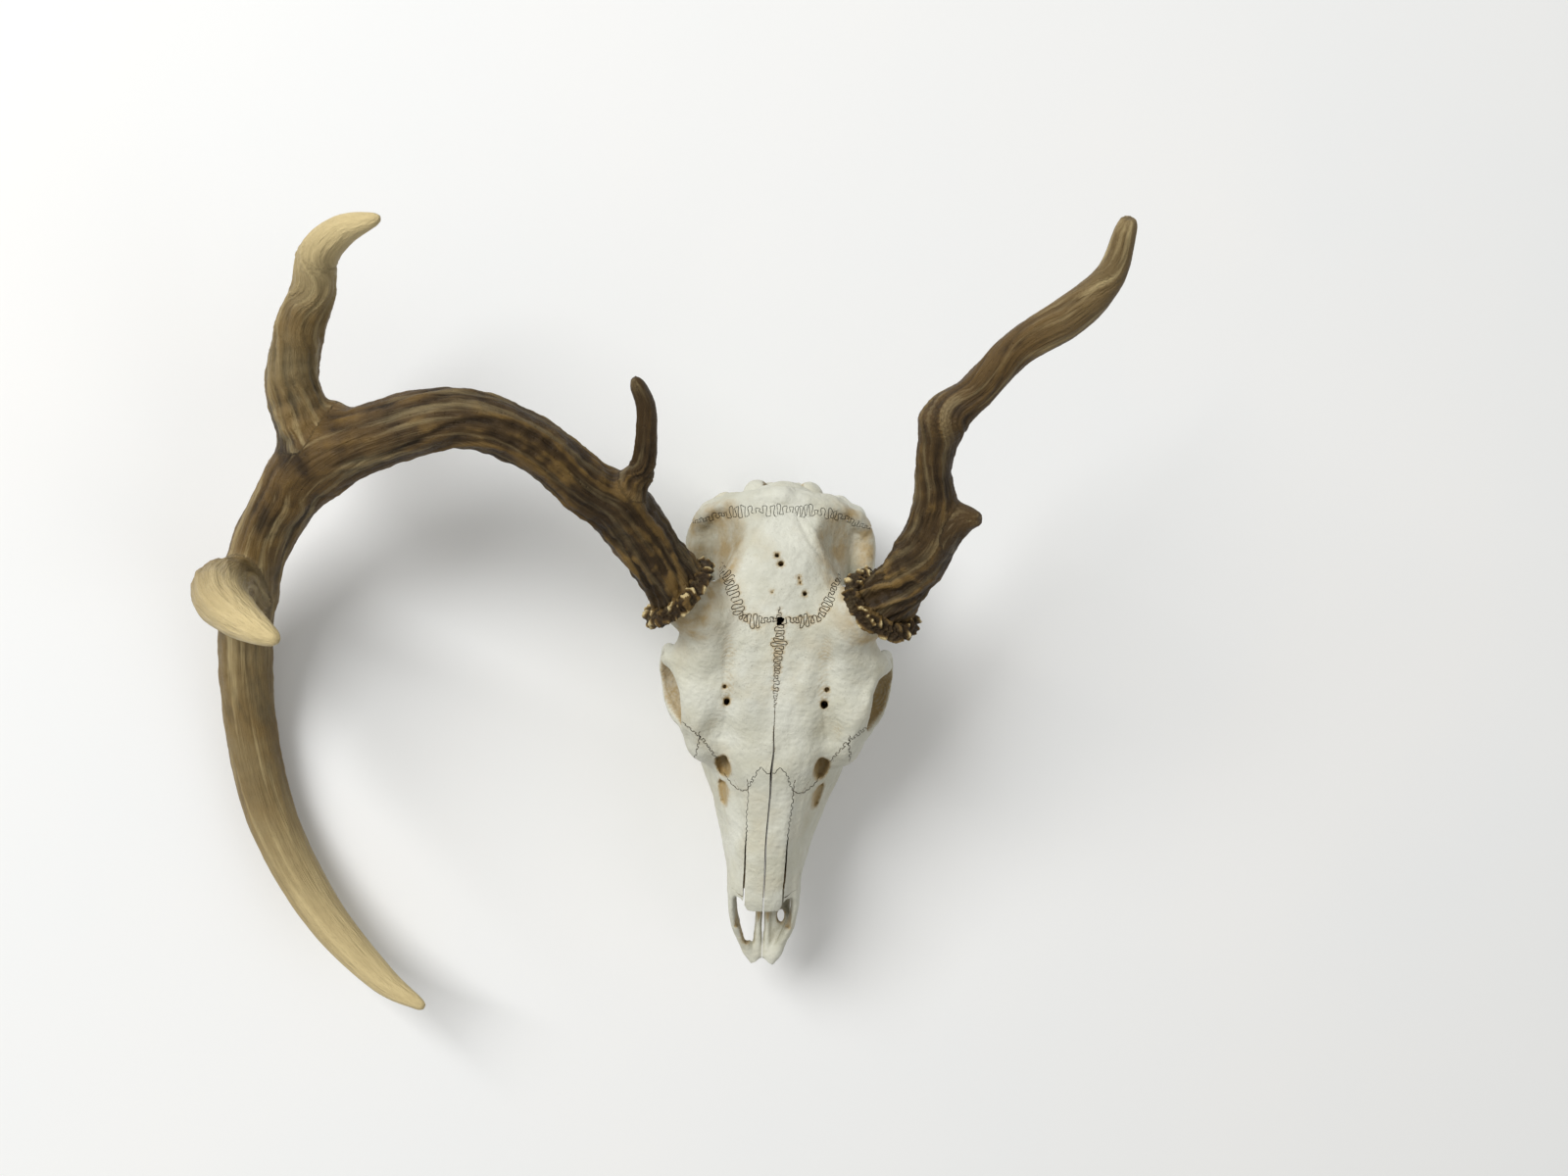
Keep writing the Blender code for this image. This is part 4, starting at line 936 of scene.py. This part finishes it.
IVORY = (0.51, 0.50, 0.40, 1)
PALE_BONE = (0.60, 0.60, 0.52, 1)
GREY_BONE = (0.37, 0.37, 0.31, 1)
# a warm bone tone, and also the tint of the painted shade in hollows
WARM_BONE_AND_HOLLOW_SHADE = (0.50, 0.45, 0.32, 1)
TAN = (0.36, 0.25, 0.10, 1)
SEAM_BROWN = (0.17, 0.10, 0.035, 1)
PORE_BROWN = (0.20, 0.14, 0.06, 1)

bone, tree, shader = new_material("bone")
where = add(tree, "ShaderNodeTexCoord").outputs["Object"]
inside, stain_and_temple_shade, seam, openness = painted(tree, "tint")
colour = mix(tree, noise(tree, where, 38), IVORY, PALE_BONE)
colour = mix(tree, times(tree, noise(tree, where, 22, 0.48, 0.72, 6), 0.55), colour, GREY_BONE)
colour = mix(tree, times(tree, noise(tree, where, 55, 0.5, 0.75, 7), 0.5), colour, WARM_BONE_AND_HOLLOW_SHADE)
blotches = noise(tree, where, 90, 0.3, 0.62, 6)
# Tan: painted shade in the temples, and blotchy stains round the antlers' feet and beside the crown seams
colour = mix(tree, times(tree, stain_and_temple_shade, blotches, 0.85), colour, TAN)
# Painted shade: warmer and darker where the surface lies in a hollow
colour = mix(tree, ramp(tree, openness, 0.75, 0.25, 0, 0.62), colour, WARM_BONE_AND_HOLLOW_SHADE, "MULTIPLY")
# Tan painted shade, blotchy, inside the nose, sockets and other openings
colour = mix(tree, times(tree, inside, ramp(tree, blotches, 0, 1, 0.55, 0.95)), colour, TAN)
colour = mix(tree, times(tree, seam, 0.8), colour, SEAM_BROWN)
specks = times(tree, pores(tree, where, 900, 0.16), noise(tree, where, 60, 0.45, 0.6))
colour = mix(tree, times(tree, specks, 0.7), colour, PORE_BROWN)
tree.links.new(colour, shader.inputs["Base Color"])
roughness = ramp(tree, noise(tree, where, 160), 0, 1, 0.48, 0.72)
tree.links.new(roughness, shader.inputs["Roughness"])
grain = noise(tree, where, 420, 0.25, 0.75, 8, 0.65)
normal = bumps(tree, (noise(tree, where, 120), 0.5, 0.0009), (grain, 0.5, 0.0005), (specks, 0.6, -0.0005))
tree.links.new(normal, shader.inputs["Normal"])
shader.inputs["Specular IOR Level"].default_value = 0.32

for name, obj in bones.items():
    lay_down(obj, weather(obj.data))
    obj.name = "bone_" + name
    obj.data.materials.clear()
    obj.data.materials.append(bone)
    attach(obj, "root")
    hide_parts(name)


# ---------------------------------------------------------------------------------------------------------
# The cheek teeth, six to a side. Each is a tall column of enamel, the three back ones of two lobes, rooted in
# the upper jaw; its chewing face is worn into a crescent hollow between two sharp ridges.
TEETH = ((-69.5, 9, 1), (-60.2, 9.4, 1), (-50.4, 9.8, 1), (-38.6, 13.4, 2), (-24, 15.4, 2), (-8, 16.4, 2))
TOOTH_HALF_WIDTH = 5.0
TOOTH_ROOT_Z = 15.5
TOOTH_ROW_FRONT_X, TOOTH_ROW_BACK_X = 21.5, 29.5
TOOTH_GRAIN = 0.42
GUM_LINE = 11.0


def upright(stations, side, sides=40):
    """A column: rings of ellipses, each with its own x, y, z, half width and half length."""
    x, y, z, wide, long = np.array(stations, float).T[:, :, None]
    u = np.linspace(0, 2 * math.pi, sides, endpoint=False)
    return closed_shape(np.stack([(x + wide * np.cos(u)) * side, y + long * np.sin(u), z + 0 * u], axis=-1))


enamel, tree, shader = new_material("enamel")
where = add(tree, "ShaderNodeTexCoord").outputs["Object"]
root, worn, groove, openness = painted(tree, "tint")
colour = mix(tree, noise(tree, where, 120), (0.62, 0.53, 0.36, 1), (0.74, 0.69, 0.55, 1))
# Root colour towards the gum, and painted shade in the clefts between teeth and lobes
colour = mix(tree, times(tree, root, 0.7), colour, (0.36, 0.25, 0.12, 1))
colour = mix(tree, times(tree, worn, noise(tree, where, 300, 0.3, 0.6), 0.9), colour, (0.16, 0.09, 0.04, 1))
tree.links.new(colour, shader.inputs["Base Color"])
tree.links.new(ramp(tree, noise(tree, where, 200), 0, 1, 0.28, 0.5), shader.inputs["Roughness"])
tree.links.new(bumps(tree, (noise(tree, where, 500, 0.3, 0.7, 6), 0.4, 0.0004)), shader.inputs["Normal"])
for side, label in ((1, "left"), (-1, "right")):
    edges = sorted((side * 12.0, side * 38.0))
    skull_clay, clay = clay, Clay((edges[0], -79, -2), (edges[1], 4, TOOTH_ROOT_Z + 3), TOOTH_GRAIN)
    for middle, length, lobes in TEETH:
        half = length / lobes / 2
        for y in middle + half * (2 * np.arange(lobes) - lobes + 1):
            spread = max((y - TEETH[0][0]) / (TEETH[-1][0] - TEETH[0][0]), 0) ** 0.7
            x = TOOTH_ROW_FRONT_X + (TOOTH_ROW_BACK_X - TOOTH_ROW_FRONT_X) * spread
            wide = TOOTH_HALF_WIDTH
            column = ((x - 1, y, TOOTH_ROOT_Z, wide, half + 0.2), (x - 0.3, y, 7, wide, half + 0.4))
            crown = ((x, y, 2, wide - 0.4, half + 0.2), (x, y, 0.1, wide - 1.1, half - 0.4))
            clay.lay_on(upright(column + crown, side), 0.7)
            hollow = ((x - 0.4, y, -1, 1.5, half * 0.62), (x - 0.4, y, 0.9, 1.3, half * 0.55), (x, y, 2.4, 0.5, half * 0.3))
            clay.scoop_out(upright(hollow, side, 24), 0.5)
    obj = new_object("teeth_" + label, *clay.surface())
    points = relaxed(obj.data, points_of(obj.data), 1)
    height = points[:, 2]
    lift = 0.14 * ripples(points * (1, 1, 0.25), 2.4, 31)
    # Gaps: high in the clefts between teeth and lobes, where painted shade darkens them
    gaps = 1 - clay.at(clay.field, points + slope(clay.field, points, 1.0) * 1.6) / 1.6
    worn = 1 - clay.at(clay.openings, points) / 0.7
    # Red: root colour towards the gum, plus painted shade in the gaps between teeth and lobes
    set_colours(obj.data, "tint", ((height - 5) / (GUM_LINE - 5) + 0.5 * gaps, worn, gaps, 1 - gaps))
    lay_down(obj, points + slope(clay.field, points, 1.0) * lift[:, None])
    clay = skull_clay
    obj.data.materials.append(enamel)
    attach(obj, "root")


# ---------------------------------------------------------------------------------------------------------
# The antlers. Solid bone shed and grown again each year, long ridged and grooved where the vessels of the
# velvet ran, rough and dark at the foot and rubbed smooth and pale at the tips. Each is one seamless piece.
ANTLER_GRAIN = 1.0
FORK_BLEND = 7
BEAM_STEP = 1.6
# Stations: x, y, z, radius. Then, for each branch, how far its colour has aged to ivory at its start and its tip
RIGHT_BEAM = (
    (-43, 36, 101, 14.6),
    (-48, 42.5, 104.6, 14.6),
    (-57, 55.5, 111, 14.4),
    (-67, 70, 119, 14.8),
    (-78, 83, 128, 15.2),
    (-92, 92, 138, 13.2),
    (-119, 111.8, 155, 12.9),
    (-150, 120.6, 165, 13.9),
    (-186, 112, 164, 15.2),
    (-217, 97, 155, 16.6),
    (-232.5, 81.5, 146, 14.6),
    (-250, 54.5, 130, 13.6),
    (-260, 20, 111, 13.0),
    (-262, -30, 92, 12.5),
    (-251.5, -79, 83, 12.0),
    (-227, -123.5, 80, 10.3),
    (-196, -155.5, 82, 7.2),
    (-175, -167.5, 86.5, 3.2),
    (-171.5, -169.5, 87.5, 1.2),
)
BROW_TINE = (
    (-77, 84, 130, 9.5),
    (-70, 95, 140, 7.2),
    (-65, 104, 150, 5.6),
    (-63, 117, 163, 4.8),
    (-63, 128, 174, 4.4),
    (-66, 136, 183, 3.6),
    (-67.5, 139, 186, 1.6),
)
SECOND_TINE = (
    (-214, 100, 155, 16.5),
    (-221.5, 117, 161, 13.8),
    (-225, 134, 168, 12.0),
    (-220, 153, 180, 10.8),
    (-210, 170, 194, 10.0),
    (-204, 185, 208, 8.6),
    (-191, 193.5, 220, 6.8),
    (-175, 196.5, 231, 3.0),
    (-172, 196.5, 232.5, 1.2),
)
THIRD_TINE = (
    (-257, 34, 118, 12.4),
    (-256.5, 41, 148, 12.2),
    (-252, 38.5, 176, 12.4),
    (-244, 33.5, 197, 11.2),
    (-231, 27, 213, 9.0),
    (-219.5, 22.5, 225, 6.4),
    (-211, 19.5, 232, 3.6),
    (-208.5, 19, 234, 1.4),
)
LEFT_BEAM = (
    (45, 36, 100, 14.4),
    (49.5, 41, 104.8, 14.4),
    (61, 53.5, 114, 13.2),
    (69.5, 69.5, 126, 12.8),
    (72, 89, 140, 10.0),
    (70, 105, 152, 8.4),
    (71, 118, 161, 9.4),
    (75, 129.5, 168, 10.0),
    (86, 139, 174, 8.4),
    (102, 157, 187, 8.2),
    (123, 170.5, 200, 9.2),
    (137.5, 185.5, 214, 6.8),
    (141.5, 203, 227, 4.8),
    (142, 207.5, 230.5, 3.2),
)
LEFT_STUB = ((66, 64, 121, 11), (76, 76, 133, 9.6), (85, 82.5, 141, 7.6), (93, 83, 147, 3.0))
FORK_WEB = ((-207, 113, 158.5), (9, 12, 9))
LEFT_KNUCKLE = ((72, 126, 168), (9, 7, 8))
RIDGES = ((5, 190, 0.26), (8, 130, 0.28), (11, 170, 0.28), (16, 120, 0.24), (23, 160, 0.16))  # round, length, height
RIDGE_FADE = ((0, 1.7), (0.1, 1.25), (0.3, 0.75), (0.6, 0.45), (0.85, 0.15), (1, 0.04))
NEARNESS = 9  # how sharply the nearest branch outweighs the others
ANTLER_RELIEF = ((24, 0.5), (9, 0.35), (4, 0.14))


def ridged(points, branches):
    """Where points lie on the nearest branch, and the ridges there.

    Each ridge is a sine of its number of turns round the branch plus a slow twist along it. Near a fork, where
    two branches lie nearly as close, the ridges fade out.
    """
    nearest = np.full(len(points), FAR)
    second = nearest.copy()
    share, age, ridge, grain, total = nearest * 0, nearest * 0, nearest * 0, points * 0, nearest * 0
    for number, (stations, young, old) in enumerate(branches):
        path = smooth_rows(stations, BEAM_STEP)
        spot, radius = path[:, :3], path[:, 3]
        ahead = np.gradient(spot, axis=0)
        ahead /= np.linalg.norm(ahead, axis=1)[:, None]
        along = np.cumsum(np.linalg.norm(np.diff(spot, axis=0, prepend=spot[:1]), axis=1))
        apart = (points**2).sum(1)[:, None] - 2 * points @ spot.T + (spot**2).sum(1)
        apart = np.sqrt(np.maximum(apart, 0)) / np.maximum(radius, 2)
        closest = apart.argmin(1)
        distance = apart[np.arange(len(points)), closest]
        aside = points - spot[closest]
        forward = (aside * ahead[closest]).sum(1)
        level = np.cross(ahead[closest], (0.3, 0.5, 0.8))
        level /= np.linalg.norm(level, axis=1)[:, None]
        turn = np.arctan2((aside * np.cross(level, ahead[closest])).sum(1), (aside * level).sum(1))
        s = along[closest] + forward
        here = distance < nearest
        second = np.where(here, nearest, np.minimum(second, distance))
        nearest = np.where(here, distance, nearest)
        part = s / along[-1]
        twist = 1.6 * np.sin(s / 41 + number) + 0.9 * np.sin(s / 17 + 2 * number)
        height = sum(a * np.sin(m * turn + 2 * math.pi * s / span + 0.35 * m * twist) for m, span, a in RIDGES)
        wide = radius[closest]
        thread = np.stack([wide * np.cos(turn), wide * np.sin(turn), s * 0.055 + 90 * number], axis=1)
        ridge = np.where(here, height, ridge)
        grain = np.where(here[:, None], thread, grain)
        weight = 1 / np.maximum(distance, 0.3) ** NEARNESS
        share, age, total = share + weight * part, age + weight * (young + (old - young) * part), total + weight
    return share / total, age / total, ridge * ((second / nearest - 1) / 0.5).clip(0, 1), grain


def antler_body(name, foot, branches, lumps, low, high, nodes):
    """Grows an antler from its branches, takes off what lies below its foot, and roughens it."""
    global clay
    skull_clay, clay = clay, Clay(low, high, ANTLER_GRAIN)
    for stations, _, _ in branches:
        clay.lay_on(bar([(*row[:3], row[3], row[3]) for row in stations], step=BEAM_STEP), FORK_BLEND)
    for shape in lumps:
        clay.lay_on(lump(shape), FORK_BLEND)
    under = np.array(foot[0]) - np.linspace(0.05, 34, 6)[:, None] * unit(foot[1])
    clay.scoop_out(bar([(*point, 30, 30) for point in under]), 0.5)
    obj = new_object(name, *clay.surface())
    points = relaxed(obj.data, points_of(obj.data), 2)
    out = slope(clay.field, points, 2.0)
    share, age, ridge, grain = ridged(points, branches)
    fade = np.interp(share, *np.array(RIDGE_FADE).T)
    rough = sum(height * ripples(points, size, 51 + k) for k, (size, height) in enumerate(ANTLER_RELIEF))
    foot_end = (((points - foot[0]) @ unit(foot[1])) / 3).clip(0, 1)
    lift = (ridge + rough * 0.8) * fade * foot_end
    openness = clay.at(clay.field, points + out * 6) / 6
    clay = skull_clay
    set_colours(obj.data, "tint", (age, 0.5 + lift / 2.6, share, openness))
    streaks = obj.data.attributes.new("grain", "FLOAT_VECTOR", "POINT")
    streaks.data.foreach_set("vector", (grain * MM).astype(np.float32).ravel())
    lay_down(obj, points + out * lift[:, None])
    obj.data.materials.append(horn)
    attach(obj, "root")
    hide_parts(*nodes)


DARK_HORN = (0.016, 0.009, 0.003, 1)
BROWN_HORN = (0.075, 0.044, 0.015, 1)
OCHRE_HORN = (0.200, 0.120, 0.032, 1)
OLIVE_HORN = (0.260, 0.205, 0.105, 1)
IVORY_HORN = (0.620, 0.500, 0.260, 1)

horn, tree, shader = new_material("antler")
where = add(tree, "ShaderNodeTexCoord").outputs["Object"]
along = add(tree, "ShaderNodeAttribute", attribute_name="grain").outputs["Vector"]
age, raised, share, openness = painted(tree, "tint")
streak = noise(tree, along, 460, 0.32, 0.68, 7, 0.62)
broad = noise(tree, where, 45, 0.3, 0.7, 5)
colour = mix(tree, ramp(tree, age, 0.05, 0.36), DARK_HORN, BROWN_HORN)
colour = mix(tree, ramp(tree, age, 0.3, 0.72, 0, 0.8), colour, OCHRE_HORN)
colour = mix(tree, times(tree, ramp(tree, raised, 0.55, 0.8, 0, 0.9), ramp(tree, broad, 0, 1, 0.35, 1)), colour, OCHRE_HORN)
colour = mix(tree, times(tree, ramp(tree, raised, 0.52, 0.25, 0, 0.95), ramp(tree, age, 0.9, 0.6)), colour, DARK_HORN)
colour = mix(tree, times(tree, streak, ramp(tree, age, 0.1, 0.9, 0.5, 0.25)), colour, BROWN_HORN)
colour = mix(tree, times(tree, ramp(tree, age, 0.45, 0.62), ramp(tree, broad, 0, 1, 0.2, 0.65)), colour, OLIVE_HORN)
colour = mix(tree, times(tree, noise(tree, along, 240, 0.52, 0.74, 7), ramp(tree, age, 0.1, 0.6, 0.12, 0.6)), colour, IVORY_HORN)
colour = mix(tree, times(tree, ramp(tree, age, 0.74, 0.96), ramp(tree, streak, 0, 1, 1, 0.78)), colour, IVORY_HORN)
tree.links.new(colour, shader.inputs["Base Color"])
tree.links.new(ramp(tree, streak, 0, 1, 0.38, 0.62), shader.inputs["Roughness"])
fine = noise(tree, along, 900, 0.3, 0.7, 7, 0.65)
pits = times(tree, pores(tree, where, 330, 0.22), ramp(tree, age, 0.7, 0.3))
normal = bumps(tree, (streak, 0.6, 0.0012), (fine, 0.5, 0.0006), (pits, 0.5, -0.0007))
tree.links.new(normal, shader.inputs["Normal"])
shader.inputs["Specular IOR Level"].default_value = 0.22

RIGHT_NODES = ("base", "brow_tine", "beam_lower", "fork", "second_tine", "beam_middle", "third_tine", "beam_outer", "beam_tip")
right = ((RIGHT_BEAM, 0.0, 1.0), (BROW_TINE, 0.2, 0.3), (SECOND_TINE, 0.42, 1.02), (THIRD_TINE, 0.62, 1.0))
nodes = ["antler_right_" + node for node in RIGHT_NODES]
antler_body("antler_right", RIGHT_FOOT, right, (FORK_WEB,), (-282, -180, 66), (-26, 206, 243), nodes)
left = ((LEFT_BEAM, 0.08, 0.6), (LEFT_STUB, 0.15, 0.35))
nodes = ["antler_left_" + node for node in ("base", "beam", "tip")]
antler_body("antler_left", LEFT_FOOT, left, (LEFT_KNUCKLE,), (22, 18, 84), (160, 216, 242), nodes)


# ---------------------------------------------------------------------------------------------------------
# The burrs: the rough ring round each antler's foot, a wreath of bony pearls just above the skull.
BURR_RADIUS = 16.2
BURR_WIDTH, BURR_HEIGHT = 4.6, 3.6
PEARLS = ((5.2, 1.5, 71), (2.9, 0.7, 72))  # size, height, seed


def burr(name, foot, base, sides=300, rings=64):
    """A ring of oval section v round the antler's foot u, with pearls where random swellings are high."""
    facing = unit(foot[1])
    across = unit(np.cross(facing, (0, 0, 1)))
    axes = np.array([across, np.cross(facing, across), facing])
    u = np.linspace(0, 2 * math.pi, sides, endpoint=False)[:, None]
    v = np.linspace(0, 2 * math.pi, rings, endpoint=False)
    wide = BURR_RADIUS + 0.9 * np.sin(3 * u + base) + 0.5 * np.sin(7 * u)
    round_it = np.stack([np.cos(u) * np.cos(v), np.sin(u) * np.cos(v), np.sin(v) + 0 * u], axis=-1)
    ring = np.stack([wide * np.cos(u) + 0 * v, wide * np.sin(u) + 0 * v, 2.9 + 0 * u * v], axis=-1)
    grid = ring + round_it * (BURR_WIDTH, BURR_WIDTH, BURR_HEIGHT)
    flat = grid.reshape(-1, 3)
    lift = sum(height * ripples(flat, size, seed).clip(-0.3, 1.2) for size, height, seed in PEARLS)
    flat = flat + round_it.reshape(-1, 3) * lift[:, None]
    flat[:, 2] = np.maximum(flat[:, 2], 0.1)
    number = np.arange(sides * rings).reshape(sides, rings)
    right_of = np.roll(number, -1, 1)
    faces = np.stack([number, np.roll(number, -1, 0), np.roll(right_of, -1, 0), right_of], -1).reshape(-1, 4)
    points = flat @ axes + foot[0]
    obj = new_object(name, points, faces)
    worn = ((lift - 0.9) / 0.7).clip(0, 1) * (ripples(flat, 22, 73) > -0.2)
    set_colours(obj.data, "tint", (0.1 + 0.86 * worn, 0.35 + lift / 2.6, 0 * lift, 0 * lift + 1))
    streaks = obj.data.attributes.new("grain", "FLOAT_VECTOR", "POINT")
    streaks.data.foreach_set("vector", (points * MM).astype(np.float32).ravel())
    lay_down(obj, points)
    obj.data.materials.append(horn)
    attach(obj, "root")


burr("burr_right", RIGHT_FOOT, 0.4)
burr("burr_left", LEFT_FOOT, 2.1)


# ---------------------------------------------------------------------------------------------------------
# The photograph's view: a pale floor, a broad soft light high on the upper left and a weak one opposite, and a
# camera about 0.9 m above the forehead that looks straight down on it.
FLOOR_HALF = 4.0
CAMERA_TURN = math.radians(1.9)
CAMERA_PLACE = (0.0024, 0.0476, 0.955)
LENS = 39.6

corners = [(-FLOOR_HALF, -FLOOR_HALF, 0), (FLOOR_HALF, -FLOOR_HALF, 0), (FLOOR_HALF, FLOOR_HALF, 0), (-FLOOR_HALF, FLOOR_HALF, 0)]
floor = new_object("floor", np.array(corners) / MM, np.array([(0, 1, 2, 3)]))
paper, tree, shader = new_material("paper")
where = add(tree, "ShaderNodeTexCoord").outputs["Object"]
tree.links.new(mix(tree, noise(tree, where, 3), (0.86, 0.87, 0.87, 1), (0.88, 0.88, 0.87, 1)), shader.inputs["Base Color"])
shader.inputs["Roughness"].default_value = 0.9
floor.data.materials.append(paper)


def soft_light(name, place, size, watts):
    """A square lamp that shines at the middle of the floor."""
    lamp = bpy.data.lights.new(name, "AREA")
    lamp.size, lamp.energy = size, watts
    obj = bpy.data.objects.new(name, lamp)
    bpy.context.scene.collection.objects.link(obj)
    obj.matrix_world = Matrix.Translation(place) @ Vector(place).to_track_quat("Z", "Y").to_matrix().to_4x4()


soft_light("key", (-2.3, 1.7, 2.4), 1.7, 134)
soft_light("fill", (2.4, -0.9, 2.6), 2.4, 12)
world = bpy.data.worlds.new("studio")
bpy.context.scene.world = world
world.use_nodes = True
world.node_tree.nodes["Background"].inputs["Color"].default_value = (1.0, 0.99, 0.96, 1)
world.node_tree.nodes["Background"].inputs["Strength"].default_value = 0.4
bpy.context.scene.view_settings.view_transform = "Standard"

camera = bpy.data.objects.new("camera", bpy.data.cameras.new("camera"))
bpy.context.scene.collection.objects.link(camera)
camera.data.lens = LENS
camera.data.clip_start, camera.data.clip_end = 0.02, 30
camera.matrix_world = LIE @ Matrix.Translation(CAMERA_PLACE) @ Matrix.Rotation(CAMERA_TURN, 4, "Z")
bpy.context.scene.camera = camera
